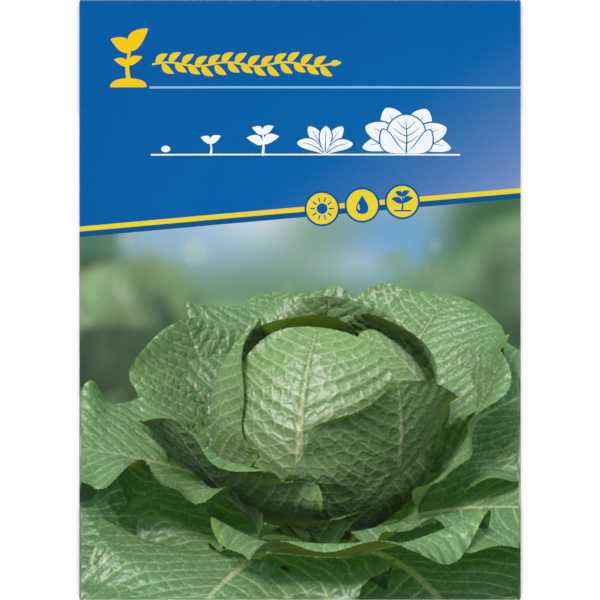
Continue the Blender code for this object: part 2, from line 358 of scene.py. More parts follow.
# ------------------------------------------------------- the picture's garden
# The printed picture is worked out as a photograph of a small modelled garden:
# rosettes of broad leaves, in centimetres, z up, seen along +y. Light and
# shade are traced at the print's own vertices.
class Garden:
    def __init__(self):
        self.verts, self.tris, self.data = [], [], []
        self.count = 0

    def leaf(self, centre, azimuth, r0, z0, length, width, rise, bend, cup,
             power=1.0, wave=0.6, waves=3.2, roll=0.0, sway=0.0, kind=0, seed=0,
             size=(46, 41)):
        """One blade. rise is the midrib's first elevation and bend is how far
        it turns by the tip, in degrees; cup is the radius of its hollow."""
        na, nb = size
        a = 1 - (1 - np.linspace(0, 1, na)) ** 1.6
        b = np.sin(np.linspace(-PI / 2, PI / 2, nb) * 0.93) / math.sin(PI / 2 * 0.93)
        fine = np.linspace(0, 1, 400)
        el = np.radians(rise + bend * fine**power)
        r = r0 + np.concatenate([[0], np.cumsum(np.cos(el[:-1]))]) * length / 399
        z = z0 + np.concatenate([[0], np.cumsum(np.sin(el[:-1]))]) * length / 399
        r, z = np.interp(a, fine, r), np.interp(a, fine, z)
        el = np.interp(a, fine, el)
        # from the stalk's width to a broad round blade
        open_up = smooth(a / 0.42)
        close = np.clip(1 - (np.clip((a - 0.50) / 0.50, 0, 1)) ** 2.6, 0, 1) ** 0.55
        w = width * (0.13 + 0.87 * open_up) * close + 0.02
        A, B = np.meshgrid(a, b, indexing="ij")
        W = np.broadcast_to(w[:, None], A.shape)
        S = B * W
        ruffle = 0.07 * np.sin(2 * PI * waves * 1.4 * A + seed + (B > 0) * 2.2)
        S = S * (1 + ruffle * np.abs(B) ** 2 * smooth(A / 0.3))
        turn = np.clip(np.abs(S) / cup, 0, 2.6)
        side = np.sign(S) * cup * np.sin(turn)
        lift = cup * (1 - np.cos(turn))
        # ruffled margins and a slow unevenness
        free = smooth(W / (0.55 * width)) * smooth(A / 0.35)
        m = np.abs(B) ** 2.6 * free
        ph = seed * 1.9 + (B > 0) * 2.4
        lift = lift + wave * m * (
            np.sin(2 * PI * waves * A + ph)
            + 0.5 * np.sin(2 * PI * waves * 2.1 * A + 1.7 * ph)
        )
        lift = lift + 0.9 * wave * (
            fbm(A * 2.2 + seed * 3.1, S / width * 1.6 + 7.0, seed + 3, 2) - 0.5
        ) * smooth(A / 0.3)
        lift = lift - roll * np.abs(B) ** 3 * free
        # the tip region curls a little
        az = math.radians(azimuth)
        er = np.array([math.sin(az), -math.cos(az), 0.0])  # azimuth 0 faces the view
        ef = np.array([math.cos(az), math.sin(az), 0.0])
        ez = np.array([0.0, 0.0, 1.0])
        EL = el[:, None]
        nr, nz = -np.sin(EL), np.cos(EL)
        R = r[:, None] + nr * lift
        Z = z[:, None] + nz * lift
        side = side + sway * A * A
        P = (
            np.asarray(centre)
            + R[..., None] * er
            + Z[..., None] * ez
            + side[..., None] * ef
        )
        da = np.gradient(P, axis=0)
        db = np.gradient(P, axis=1)
        n = np.cross(da, db)
        n /= np.maximum(np.linalg.norm(n, axis=-1, keepdims=True), 1e-9)
        mid = nr[..., None] * er + nz[..., None] * ez
        flip = np.sign((n * mid).sum(-1).mean())
        n *= flip  # the blade's upper face
        whole = smooth((W - 0.10) / 0.60)[..., None]
        n = n * whole + mid * (1 - whole)
        n /= np.maximum(np.linalg.norm(n, axis=-1, keepdims=True), 1e-9)
        ta = da / np.maximum(np.linalg.norm(da, axis=-1, keepdims=True), 1e-9)
        tb = db / np.maximum(np.linalg.norm(db, axis=-1, keepdims=True), 1e-9)
        base = self.count
        idx = base + np.arange(na * nb).reshape(na, nb)
        q = np.stack([idx[:-1, :-1], idx[1:, :-1], idx[1:, 1:], idx[:-1, 1:]], -1)
        q = q.reshape(-1, 4)
        self.tris.append(np.vstack([q[:, [0, 1, 2]], q[:, [0, 2, 3]]]))
        self.verts.append(P.reshape(-1, 3))
        info = np.concatenate(
            [
                n, ta, tb,
                (A * length)[..., None], S[..., None], W[..., None],
                A[..., None], np.full(A.shape + (1,), float(kind)),
                np.full(A.shape + (1,), float(seed)),
                np.full(A.shape + (1,), float(length)),
            ],
            -1,
        )
        self.data.append(info.reshape(-1, info.shape[-1]))
        self.count += na * nb

    def close(self):
        self.V = np.vstack(self.verts)
        self.T = np.vstack(self.tris)
        self.D = np.vstack(self.data)
        self.tree = BVHTree.FromPolygons(self.V.tolist(), self.T.tolist())
        return self

    def cast(self, origins, ways, reach=1e4):
        """First hits: triangle numbers (-1 for none) and hit points."""
        cast = self.tree.ray_cast
        hit = np.full(len(ways), -1, dtype=np.int64)
        at = np.zeros((len(ways), 3))
        for k, (o, d) in enumerate(zip(origins.tolist(), ways.tolist())):
            p, _, i, _ = cast(o, d, reach)
            if i is not None:
                hit[k] = i
                at[k] = p
        return hit, at

    def clear(self, origins, way, reach=60.0):
        """1 where nothing stands in the way, else 0."""
        cast, way = self.tree.ray_cast, tuple(way)
        return np.array(
            [0.0 if cast(o, way, reach)[2] is not None else 1.0 for o in origins]
        )

    def read(self, hit, at):
        """The leaf data at the hit points."""
        t = self.T[hit]
        p0, p1, p2 = self.V[t[:, 0]], self.V[t[:, 1]], self.V[t[:, 2]]
        e1, e2, d = p1 - p0, p2 - p0, at - p0
        a11, a12, a22 = (e1 * e1).sum(1), (e1 * e2).sum(1), (e2 * e2).sum(1)
        b1, b2 = (d * e1).sum(1), (d * e2).sum(1)
        det = np.maximum(a11 * a22 - a12 * a12, 1e-18)
        w1 = np.clip((a22 * b1 - a12 * b2) / det, 0, 1)
        w2 = np.clip((a11 * b2 - a12 * b1) / det, 0, 1)
        w0 = 1 - w1 - w2
        return (
            self.D[t[:, 0]] * w0[:, None]
            + self.D[t[:, 1]] * w1[:, None]
            + self.D[t[:, 2]] * w2[:, None]
        )


def unit(v):
    v = np.asarray(v, float)
    return v / np.linalg.norm(v, axis=-1, keepdims=True)


def grow_rosette(garden, centre, scale, seed, turn=0.0, coarse=False):
    """A hearting rosette: leaves wrapped into a ball, then looser ones."""
    rng = np.random.default_rng(seed)
    size = (26, 21) if coarse else (50, 43)
    number = 0
    for k in range(24):
        azimuth = turn + 137.508 * k
        n = int(seed * 100 + k)
        jig = lambda s: rng.uniform(-s, s)
        near = math.cos(math.radians(azimuth))
        if k < 8:  # the heart
            radius = (7.1 + 0.24 * k) * scale
            span = (186, 178, 171, 164, 156, 162, 141, 134)[k] + jig(4)
            garden.leaf(
                centre, azimuth, 1.2 * scale, 1.6 * scale, radius * math.radians(span) * 1.04,
                (8.6 + 0.25 * k) * scale, 4 + jig(3), span, radius * 0.99, power=0.98,
                wave=(0.10 + 0.03 * k) * scale, waves=2.4, roll=(0.25 + 0.07 * k) * scale,
                kind=k / 24, seed=n, size=size,
            )
        elif k < 14:  # half-open leaves hugging the heart
            j = k - 8
            garden.leaf(
                centre, azimuth, 1.5 * scale, 0.6 * scale, (19.0 + 0.5 * j + jig(0.6)) * scale,
                (9.4 + 0.25 * j) * scale, 13 - 5 * near + jig(4), 90 - 12.0 * j - 10 * near + jig(6),
                (10.5 + 0.9 * j) * scale, power=0.62, wave=(0.55 + 0.06 * j) * scale,
                waves=2.8 + jig(0.4), roll=(1.0 + 0.2 * j) * scale, sway=jig(1.2) * scale,
                kind=k / 24, seed=n, size=size,
            )
        else:  # open outer leaves
            j = k - 14
            garden.leaf(
                centre, azimuth, 1.8 * scale, 0.2 * scale, (23.0 + 0.45 * j + jig(1.0)) * scale,
                (10.6 + 0.16 * j) * scale, 50 - 2.0 * j - 17 * near + jig(4),
                -40 - 3.0 * j + 4 * near + jig(8),
                (17 + 1.2 * j) * scale, power=1.15, wave=(0.9 + 0.05 * j) * scale,
                waves=3.2 + jig(0.5), roll=(0.9 + 0.1 * j) * scale, sway=jig(2.4) * scale,
                kind=k / 24, seed=n, size=size,
            )
        number += 1
    return number


SUN = unit([-0.36, -0.52, 0.84])
VIEW_TARGET = np.array([0.0, 0.0, 8.6])
VIEW_TILT = math.radians(21.0)
VIEW_FAR = 120.0
VIEW_SCALE = 12.6  # print pixels to a centimetre at the plant
VIEW_CENTRE = (326.0, 160.0)  # where the target comes in the print


def view_rays(px, py):
    forward = np.array([0.0, math.cos(VIEW_TILT), -math.sin(VIEW_TILT)])
    up = np.array([0.0, math.sin(VIEW_TILT), math.cos(VIEW_TILT)])
    origin = VIEW_TARGET - forward * VIEW_FAR
    focal = VIEW_SCALE * VIEW_FAR
    way = (
        forward[None] * focal
        + np.outer(px - VIEW_CENTRE[0], [1.0, 0.0, 0.0])
        + np.outer(py - VIEW_CENTRE[1], up)
    )
    return np.broadcast_to(origin, way.shape), unit(way)


def sky_set(count):
    """Directions over the upper half of the sky and just under the horizon."""
    k = np.arange(count) + 0.5
    z = 1.0 - 1.28 * k / count
    a = k * 2.399963
    r = np.sqrt(np.maximum(1 - z * z, 0))
    return np.stack([r * np.cos(a), r * np.sin(a), z], 1)


def vein_fields(u, s, w, a, seed):
    """Lateral veins and the net between them, in leaf centimetres."""
    dist = np.abs(s)
    side = np.where(s > 0, 1.0, -1.0)
    spread = 2.5 - 0.9 * a
    phase = (u - 0.62 * dist - 0.42 * dist * dist / np.maximum(w, 0.5)) / spread
    phase = phase + np.where(side > 0, 0.0, 0.47) + seed * 0.37
    phase = phase + 0.22 * (fbm(u * 0.55 + seed, s * 0.55, 3, 2) - 0.5)
    off = np.abs(phase - np.round(phase)) * spread * 0.72
    f1, f2 = cells(u * 1.05 + seed * 5.3 + 0.25 * fbm(u, s, 9, 2), s * 1.05 + 0.2 * u, 5)
    net = (f2 - f1) * 0.95
    f1, f2 = cells(u * 2.6 + seed, s * 2.6 + 3.0, 6)
    fine = (f2 - f1) * 0.4
    return off, net, fine, dist


def vein_height(u, s, w, a, seed):
    off, net, fine, dist = vein_fields(u, s, w, a, seed)
    h = 0.16 * (1 - np.exp(-((off / 0.42) ** 2)))
    h = h + 0.085 * (1 - np.exp(-((net / 0.22) ** 2)))
    h = h + 0.020 * (1 - np.exp(-((fine / 0.12) ** 2)))
    rib = 0.62 * (1 - a) ** 1.2 + 0.07
    h = h + 0.30 * (1 - np.exp(-((dist / (rib * 1.2)) ** 2)))
    return h + 0.10 * fbm(u * 0.8 + seed, s * 0.8, 21, 2)


def paint_leaves(garden, origins, ways, hit, at, sun_rays=5, sky_rays=22):
    """The garden's colours at the hits, in scene-linear light, before develop turns them into display values."""
    d = garden.read(hit, at)
    n, ta, tb = unit(d[:, 0:3]), unit(d[:, 3:6]), unit(d[:, 6:9])
    u, s, w, a, kind, seed, length = (d[:, k] for k in range(9, 16))
    seed = np.round(seed)
    upper = (n * ways).sum(1) < 0  # seen from the blade's upper face
    face = np.where(upper, 1.0, -1.0)
    # relief: the blade swells between veins on its upper face
    e = 0.05
    h0 = vein_height(u, s, w, a, seed)
    hu = (vein_height(u + e, s, w, a, seed) - h0) / e
    hs = (vein_height(u, s + e, w, a, seed) - h0) / e
    # it fades where the blade is seen edge-on
    open_view = np.abs((n * ways).sum(1))
    strength = (np.where(upper, 0.80, 0.66) * (0.22 + 0.78 * step(0.12, 0.62, open_view)))[:, None]
    nn = unit(n - strength * (hu[:, None] * ta + hs[:, None] * tb))
    nn = nn * face[:, None]
    n = n * face[:, None]
    off, net, fine, dist = vein_fields(u, s, w, a, seed)
    # tissue colours, linear
    inner = np.clip(1 - kind * 2.6, 0, 1)
    outer = np.clip((kind - 0.50) * 2.2, 0, 1)
    base = mix(np.array([0.120, 0.258, 0.080]), np.array([0.195, 0.345, 0.100]), inner)
    base = mix(base, np.array([0.070, 0.188, 0.080]), outer)
    base = base * (0.86 + 0.28 * fbm(u * 0.5 + seed, s * 0.5, 31, 3))[:, None]
    bloom = fbm(u * 0.35 + seed * 2, s * 0.35, 41, 3)
    base = mix(base, np.array([0.23, 0.33, 0.24]), 0.04 + 0.22 * bloom * np.where(upper, 0.4, 1.0))
    pale = mix(np.array([0.46, 0.56, 0.30]), np.array([0.62, 0.70, 0.42]), inner)
    edge = np.maximum(w - dist, 0)
    thin = np.clip(edge / 2.5, 0, 1)
    lateral = np.exp(-((off / (0.055 + 0.075 * (1 - a) * thin)) ** 2)) * (0.35 + 0.65 * thin)
    lateral = lateral * step(0.02, 0.20, a)
    netted = np.exp(-((net / 0.06) ** 2)) * 0.42 * thin + np.exp(-((fine / 0.05) ** 2)) * 0.12
    rib_w = 0.60 * (1 - a) ** 1.25 + 0.05
    rib = step(1.25, 0.80, dist / rib_w)
    base = mix(base, pale, np.clip(np.maximum(lateral * 0.80, netted), 0, 1))
    base = mix(base, mix(pale, np.array([0.66, 0.72, 0.50]), np.clip(1.2 - 2.2 * a, 0, 1)), rib * 0.92)
    base = mix(base, base * np.array([1.35, 1.22, 0.95]), np.exp(-edge / 0.10) * 0.8)
    # small worn or nibbled spots, mostly on the outer leaves
    spot = fbm(u * 2.3 + seed * 7, s * 2.3, 51, 3)
    base = mix(base, np.array([0.26, 0.20, 0.10]), step(0.80, 0.90, spot) * np.clip(kind * 2 - 0.5, 0, 1) * 0.7)
    # light from the sun, softened, through and past the other leaves
    start = at + n * 0.06
    pts = start.tolist()
    back = (at - n * 0.06).tolist()
    facing = (nn * SUN).sum(1)
    smooth_facing = (n * SUN).sum(1)
    lit_side = smooth_facing > 0
    side_pts = [p if f else q for p, q, f in zip(pts, back, lit_side)]
    vis = np.zeros(len(at))
    t1 = unit(np.cross(SUN, [0, 0, 1.0]))
    t2 = np.cross(SUN, t1)
    for k in range(sun_rays):
        ang, rad = 2.399963 * k, 0.15 * math.sqrt((k + 0.5) / sun_rays)
        vis += garden.clear(side_pts, unit(SUN + rad * (math.cos(ang) * t1 + math.sin(ang) * t2)))
    vis /= sun_rays
    sky = np.zeros((len(at), 3))
    total = 0.0
    dirs = sky_set(sky_rays)
    for w_dir in dirs:
        height = w_dir[2]
        glow = mix(np.array([0.62, 0.80, 0.50]), np.array([0.92, 1.02, 1.12]), step(-0.25, 0.5, np.array(height)))
        power = 0.30 if height < 0 else 0.65 + 0.55 * height
        lamb = np.clip((nn * w_dir).sum(1), 0, 1)
        need = (n * w_dir).sum(1) > 0.02
        vis_d = np.zeros(len(at))
        if need.any():
            ids = np.nonzero(need)[0]
            vis_d[ids] = garden.clear([pts[i] for i in ids], w_dir, 26.0)
        sky += np.outer(lamb * (0.04 + 0.96 * vis_d), glow) * power
        sky += np.outer(lamb * (1 - vis_d), np.array([0.11, 0.20, 0.045])) * power
        total += power * max(height, 0) if height > 0 else 0
    sky /= total
    sun_colour = np.array([1.06, 1.0, 0.90])
    direct = np.clip(facing, 0, 1) * vis * lit_side
    through = np.clip(-smooth_facing, 0, 1) * vis * ~lit_side
    col = base * (np.outer(direct * 1.46, sun_colour) + sky * 1.30)
    veil = (1 - 0.6 * rib) * (1 - 0.45 * lateral) * (1 - 0.5 * netted) * (0.8 + 0.4 * bloom)
    col = col + np.array([0.15, 0.27, 0.040]) * (through * 1.1 * veil)[:, None]
    half = unit(SUN - ways)
    gloss = np.clip((nn * half).sum(1), 0, 1)
    view = np.clip(-(nn * ways).sum(1), 0, 1)
    fresnel = 0.05 + 0.95 * (1 - view) ** 5
    waxy = (gloss**34 * 0.95 + gloss**8 * 0.09) * vis * lit_side
    col = col + np.outer(waxy, [1.0, 1.0, 0.98])
    col = col + sky * (fresnel * 0.10)[:, None] * np.array([0.8, 0.95, 1.15])
    return col


def develop(col):
    """Scene light to display values, with a soft shoulder."""
    grey = (col * np.array([0.25, 0.65, 0.10])).sum(-1, keepdims=True)
    c = np.maximum(grey + (col - grey) * 1.16, 0) * 0.70
    c = c * (1 + c / 5.0) / (1 + c)
    c = np.clip(c, 0, 1) ** (1 / 2.2)
    # a little more contrast about the middle
    c = c + 0.12 * (c - 0.45) * (1 - np.abs(c - 0.45) / 0.55)
    c = c - 0.035 * np.exp(-(((c - 0.58) / 0.13) ** 2))
    c = c * (1 - 0.30 * np.exp(-((c / 0.14) ** 4)))
    return 255 * np.clip(c, 0, 1)


def plant_garden():
    garden = Garden()
    grow_rosette(garden, (0, 0, 0), 1.0, 3, turn=20.0)
    return garden.close()


def far_garden():
    """Rosettes further down the bed, with their light worked out beforehand."""
    garden = Garden()
    for k, (x, y, size, turn) in enumerate(
        ((-24, 36, 0.80, 80), (27, 44, 0.85, 150))
    ):
        grow_rosette(garden, (x, y, -1.0), size, 11 + k, turn, coarse=True)
    garden.close()
    origin = view_rays(np.array([300.0]), np.array([200.0]))[0]
    ways = unit(garden.V - origin)
    # each corner is lit on the side that the viewer sees
    first = np.zeros(len(garden.V), dtype=np.int64)
    for k in range(3):
        first[garden.T[:, k]] = np.arange(len(garden.T))
    col = paint_leaves(garden, None, ways, first, garden.V, sun_rays=1, sky_rays=7)
    garden.colour = (develop(col) / 255.0) ** 2.2
    return garden


FOCUS = VIEW_FAR - 8.0
LENS = 2.6


def blur_grid(far, spacing=4.0, samples=26):
    """What is seen past the near plant, out of focus, on a grid of pixels."""
    xs = np.arange(72, 532, spacing)
    ys = np.arange(-12, 400, spacing)
    gx, gy = np.meshgrid(xs, ys)
    px, py = gx.ravel(), gy.ravel()
    origins, ways = view_rays(px, py)
    forward = np.array([0.0, math.cos(VIEW_TILT), -math.sin(VIEW_TILT)])
    up = np.array([0.0, math.sin(VIEW_TILT), math.cos(VIEW_TILT)])
    focus = origins + ways * (FOCUS / (ways @ forward))[:, None]
    backdrop = (paint_background(px, py) / 255.0) ** 2.2
    total = np.zeros((len(px), 3))
    for k in range(samples):
        ang, rad = 2.399963 * k, LENS * math.sqrt((k + 0.5) / samples)
        start = origins + rad * (math.cos(ang) * np.array([1.0, 0, 0]) + math.sin(ang) * up)
        way = unit(focus - start)
        hit, at = far.cast(start, way)
        seen = backdrop.copy()
        m = hit >= 0
        t = far.T[hit[m]]
        c = far.colour[t].mean(1)
        depth = (at[m] - origins[m]) @ forward
        haze = np.clip((depth - 128) / 150, 0, 0.6)
        low = 0.45 + 0.55 * step(-1.0, 9.0, at[m][:, 2])
        c = mix(c * low[:, None], np.array([0.19, 0.32, 0.25]), haze)
        seen[m] = c
        total += seen
    total /= samples
    # little light reaches the ground between the near plant's leaves
    dark = np.outer(0.5 + fbm(px / 14.0, py / 9.0, 77, 2), [0.010, 0.034, 0.006])
    total = mix(dark, total, 0.03 + 0.97 * step(105, 225, py))
    return xs, ys, total.reshape(len(ys), len(xs), 3)


def read_grid(grid, px, py):
    xs, ys, values = grid
    fx = np.clip((px - xs[0]) / (xs[1] - xs[0]), 0, len(xs) - 1.001)
    fy = np.clip((py - ys[0]) / (ys[1] - ys[0]), 0, len(ys) - 1.001)
    ix, iy = fx.astype(int), fy.astype(int)
    fx, fy = (fx - ix)[:, None], (fy - iy)[:, None]
    a, b = values[iy, ix], values[iy, ix + 1]
    c, d = values[iy + 1, ix], values[iy + 1, ix + 1]
    return (a * (1 - fx) + b * fx) * (1 - fy) + (c * (1 - fx) + d * fx) * fy


# -------------------------------------------------------- blurred background
def blob(px, py, cx, cy, rx, ry, colour, strength, base, hard=1.0, turn=0.0):
    c, s = math.cos(math.radians(turn)), math.sin(math.radians(turn))
    dx, dy = px - cx, py - cy
    q = ((dx * c + dy * s) / rx) ** 2 + ((dy * c - dx * s) / ry) ** 2
    f = np.exp(-(q**hard)) * strength
    return mix(base, np.array(colour, float), f)


def soft_stroke(px, py, points, width, blur, colour, strength, base):
    sd = signed_distance(px, py, stroke(curve(points, 8), width))
    return mix(base, np.array(colour, float), step(blur, -blur, sd) * strength)


def paint_background(px, py):
    col = np.empty((len(px), 3))
    rows = [-40, 60, 150, 240, 300, 350, 410]
    grad = np.array(
        [
            [58, 84, 42],
            [76, 106, 56],
            [92, 124, 80],
            [104, 138, 92],
            [112, 146, 112],
            [138, 166, 158],
            [160, 186, 192],
        ],
        float,
    )
    for k in range(3):
        col[:, k] = np.interp(py, rows, grad[:, k])
    # open sky, and the trees and beds beyond the plant
    for args in (
        (196, 372, 84, 44, (150, 186, 214), 0.92, 1.4),
        (262, 388, 58, 30, (212, 224, 228), 0.85, 1.2),
        (396, 356, 60, 42, (112, 164, 210), 0.92, 1.4),
        (356, 336, 44, 20, (186, 204, 208), 0.55, 1.0),
        (318, 372, 34, 26, (110, 146, 112), 0.50, 1.0),
        (500, 372, 54, 62, (60, 100, 62), 0.95, 1.8),
        (462, 330, 34, 34, (84, 124, 88), 0.7, 1.2),
        (506, 300, 44, 40, (76, 116, 84), 0.7, 1.0),
        (92, 344, 30, 70, (72, 116, 92), 0.9, 1.6),
        (140, 300, 50, 30, (106, 140, 112), 0.6, 1.0),
        (250, 306, 60, 22, (112, 148, 124), 0.5, 1.0),
        (512, 250, 56, 58, (62, 100, 62), 0.75, 1.2),
        (452, 232, 44, 40, (88, 128, 82), 0.6, 1.0),
        (90, 250, 40, 60, (70, 106, 70), 0.6, 1.0),
        (462, 120, 90, 60, (112, 140, 78), 0.6, 1.0),
        (510, 40, 60, 60, (92, 124, 60), 0.7, 1.0),
        (380, 30, 80, 50, (66, 96, 48), 0.6, 1.0),
    ):
        col = blob(px, py, *args[:4], args[4], args[5], col, hard=args[6])
    # out-of-focus points of light and blossom
    rng = np.random.default_rng(11)
    for _ in range(34):
        cx, cy = rng.uniform(90, 520), rng.uniform(150, 385)
        r = rng.uniform(5, 15)
        kind = rng.integers(0, 4)
        colour = [(168, 190, 140), (206, 216, 188), (128, 160, 104), (222, 208, 206)][kind]
        sd = np.hypot(px - cx, py - cy) - r
        col = mix(col, np.array(colour, float), step(2.6, -2.6, sd) * rng.uniform(0.15, 0.4))
    for cx, cy, rx, ry, colour, f in (
        (470, 258, 20, 16, (226, 208, 210), 0.85),
        (404, 262, 13, 12, (230, 220, 214), 0.55),
        (508, 128, 15, 18, (222, 210, 196), 0.6),
        (96, 292, 12, 12, (214, 208, 190), 0.4),
    ):
        col = blob(px, py, cx, cy, rx, ry, colour, f, col, hard=2.0)
    for pts, w, b, colour, f in (
        (((486, -20), (480, 120), (492, 250)), 9, 6, (128, 156, 96), 0.7),
        (((392, -20), (412, 110), (404, 230)), 7, 6, (116, 146, 88), 0.6),
        (((100, 120), (92, 260), (110, 380)), 8, 7, (96, 128, 92), 0.55),
    ):
        col = soft_stroke(px, py, pts, w, b, colour, f, col)
    # the plant's own shade gathers round its foot
    shade = np.exp(-(((px - 190) / 170) ** 2 + ((py + 10) / 130) ** 2))
    return col * (1 - 0.62 * shade)[:, None]


class Picture:
    """The printed picture: colours at print pixels, and its sharp outlines."""

    def __init__(self):
        self.near = plant_garden()
        self.per_leaf = len(self.near.tris[0])
        self.grid = blur_grid(far_garden(), samples=26)

    def see(self, px, py):
        """Which leaf shows at each pixel (-1 for none) and how far off it is."""
        origins, ways = view_rays(px, py)
        hit, at = self.near.cast(origins, ways)
        depth = np.where(hit >= 0, np.linalg.norm(at - origins, axis=1), 400.0)
        return np.where(hit >= 0, hit // self.per_leaf, -1), depth

    def outlines(self, px, py, leaf, depth, pairs, gap):
        """Pairs of points, gap pixels apart, astride the leaves' outlines."""
        a, b = pairs[:, 0], pairs[:, 1]
        edge = (leaf[a] != leaf[b]) | (np.abs(depth[a] - depth[b]) > 0.55)
        a, b = a[edge], b[edge]
        pa, pb = np.stack([px[a], py[a]], 1), np.stack([px[b], py[b]], 1)
        la, da, lb, db = leaf[a], depth[a], leaf[b], depth[b]
        for _ in range(5):
            mid = (pa + pb) / 2
            lm, dm = self.see(mid[:, 0], mid[:, 1])
            same = np.where(
                lm == la,
                np.where(lm == lb, np.abs(dm - da) <= np.abs(dm - db), True),
                np.where(lm == lb, False, np.abs(dm - da) <= np.abs(dm - db)),
            )
            pa = np.where(same[:, None], mid, pa)
            pb = np.where(same[:, None], pb, mid)
        way = pb - pa
        way /= np.maximum(np.linalg.norm(way, axis=1, keepdims=True), 1e-9)
        mid = (pa + pb) / 2
        return np.vstack([mid - way * gap / 2, mid + way * gap / 2])

    def colours(self, px, py):
        """Linear colours of the print."""
        col = 255 * np.clip(read_grid(self.grid, px, py), 0, 1) ** (1 / 2.2)
        origins, ways = view_rays(px, py)
        hit, at = self.near.cast(origins, ways)
        m = hit >= 0
        rays = ((5, 20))
        col[m] = develop(
            paint_leaves(self.near, origins[m], ways[m], hit[m], at[m], *rays)
        )
        return to_linear(col)


# --------------------------------------------------------------- front artwork
def stripe_y(x):
    """Middle of the slanting stripe, in print pixels up."""
    return 600.0 - (228.65 - 0.0876 * (np.asarray(x, float) - 85.0))


def paint_header(s, t):
    px, py = 300 + s / PX, 300 + t / PX
    # the blue first turns brighter and then paler towards the lower right
    near = ((px - 540) / 382) ** 2 + ((py - 398) / 150) ** 2
    side = ((px - 540) / 150) ** 2 + ((py - 398) / 260) ** 2
    bright = 1 - (1 - np.exp(-(near**2))) * (1 - 0.8 * np.exp(-side))
    pale = 113 - 0.46 * (514 - px) - 0.67 * (py - 418)
    pale = np.clip(pale, 0, 130) * step(0, 25, pale)
    col = np.stack(
        [
            pale,
            93.5 + 6.5 * bright + 0.13 * pale + 0.0023 * pale**2,
            165.5 + 6.5 * bright + 0.06 * pale + 0.0014 * pale**2,
        ],
        -1,
    )
    return to_linear(col)


def leaf_icon(base, tip, width, lean=0.0):
    return lens(base, tip, width, lean, 9)


def sprout(x, y, size, stage):
    """Outlines of a young plant standing on y, larger with each stage."""
    k = size
    out = []
    if stage == 0:
        a = np.arange(14) * 2 * PI / 14
        out.append(np.stack([x + 4.4 * k * np.cos(a), y + 3.4 * k + 3.1 * k * np.sin(a)], 1))
        return out
    tall = (0, 9, 15)[stage] * k
    stem = curve([(x, y), (x + 0.5 * k, y + tall * 0.5), (x, y + tall)], 5)
    out.append(stroke(stem, np.linspace(1.0 * k, 0.55 * k, len(stem))))
    h = y + tall
    out.append(leaf_icon((x, h), (x - 8 * k, h + 5 * k), 5.6 * k, -1.2 * k))
    out.append(leaf_icon((x, h), (x + 8 * k, h + 6 * k), 5.6 * k, 1.2 * k))
    if stage == 2:
        h = y + tall * 0.5
        out.append(leaf_icon((x, h), (x - 12 * k, h + 5 * k), 6.6 * k, -1.6 * k))
        out.append(leaf_icon((x, h + 1), (x + 12 * k, h + 6 * k), 6.6 * k, 1.6 * k))
    return out


def blade(base, tip, width, lean=0.0, n=16):
    """A broad blunt leaf outline from base to tip, and its midrib."""
    base, tip = np.asarray(base, float), np.asarray(tip, float)
    way = tip - base
    side = np.array([-way[1], way[0]]) / np.linalg.norm(way)
    f = np.sin(np.linspace(0, PI / 2, n + 1))
    bulge = np.sin(PI * np.clip(f**1.5, 0, 1)) ** 0.62
    bulge[-1] = 0.0
    mid = base + np.outer(f, way) + np.outer(np.sin(PI * f) * lean, side)
    left = mid + np.outer(bulge * width / 2, side)
    right = mid - np.outer(bulge * width / 2, side)
    return np.vstack([left, right[::-1][1:-1]]), mid[1 : int(n * 0.72)]


def leaf_art(x, y, size, angle, length, width, lean, line, colour, gap, rib=True):
    """One leaf of a pictogram, set off by a thin gap; angle is from upright."""
    turn = math.radians(90 - angle)
    way = np.array([math.cos(turn), math.sin(turn)]) * size
    base = np.array([x, y])
    rim, _ = blade(base - way * 0.02, base + way * (length + line * 1.1), (width + 2 * line) * size, lean * size)
    leaf, mid = blade(base, base + way * length, width * size, lean * size)
    art = [(rim, gap), (leaf, colour)]
    if rib:
        art.append((stroke(mid, np.linspace(0.50, 0.16, len(mid)) * line * size), gap))
    return art


def young_plant_art(x, y, size, colour, gap, line=0.035):
    art = []
    for angle, length, width, lean in (
        (-30, 0.98, 0.36, -0.04), (32, 1.0, 0.36, 0.04), (-66, 0.92, 0.34, -0.10),
        (68, 0.90, 0.34, 0.10), (2, 0.86, 0.36, 0.0),
    ):
        art += leaf_art(x, y, size, angle, length, width, lean, line, colour, gap)
    return art


def head_art(x, y, size, colour, gap, line=0.030):
    """A headed plant: a round heart in a ruff of loose leaves."""
    art = []
    for angle, length, width, lean in (
        (-24, 1.10, 0.56, -0.02), (25, 1.08, 0.56, 0.02), (-82, 0.98, 0.34, -0.14),
        (83, 1.0, 0.34, 0.14), (-56, 1.08, 0.46, -0.10), (57, 1.06, 0.46, 0.10),
    ):
        art += leaf_art(x, y + 0.03 * size, size, angle, length, width, lean, line, colour, gap)
    cx, cy, r = x, y + 0.46 * size, 0.42 * size
    art.append((circle(cx, cy, r + line * size, 40), gap))
    art.append((circle(cx, cy, r, 40), colour))
    w = line * size * 0.5
    mid = [(cx, cy - 0.95 * r), (cx + 0.03 * r, cy - 0.1 * r), (cx - 0.02 * r, cy + 0.66 * r)]
    art.append((stroke(curve(mid, 6), np.linspace(1.3 * w, 0.5 * w, 13)), gap))
    for side in (-1, 1):
        for low, reach in ((-0.50, 0.62), (-0.12, 0.66), (0.24, 0.46)):
            rib = [(cx, cy + low * r), (cx + side * 0.5 * reach * r, cy + (low + 0.16) * r),
                   (cx + side * reach * r, cy + (low + 0.42) * r)]
            art.append((stroke(curve(rib, 5), np.linspace(0.8 * w, 0.35 * w, 11)), gap))
    # two leaves clasp the heart from below
    for angle, lean in ((-46, 0.13), (47, -0.13)):
        art += leaf_art(x, y + 0.03 * size, size, angle, 0.74, 0.32, lean, line, colour, gap, False)
    return art


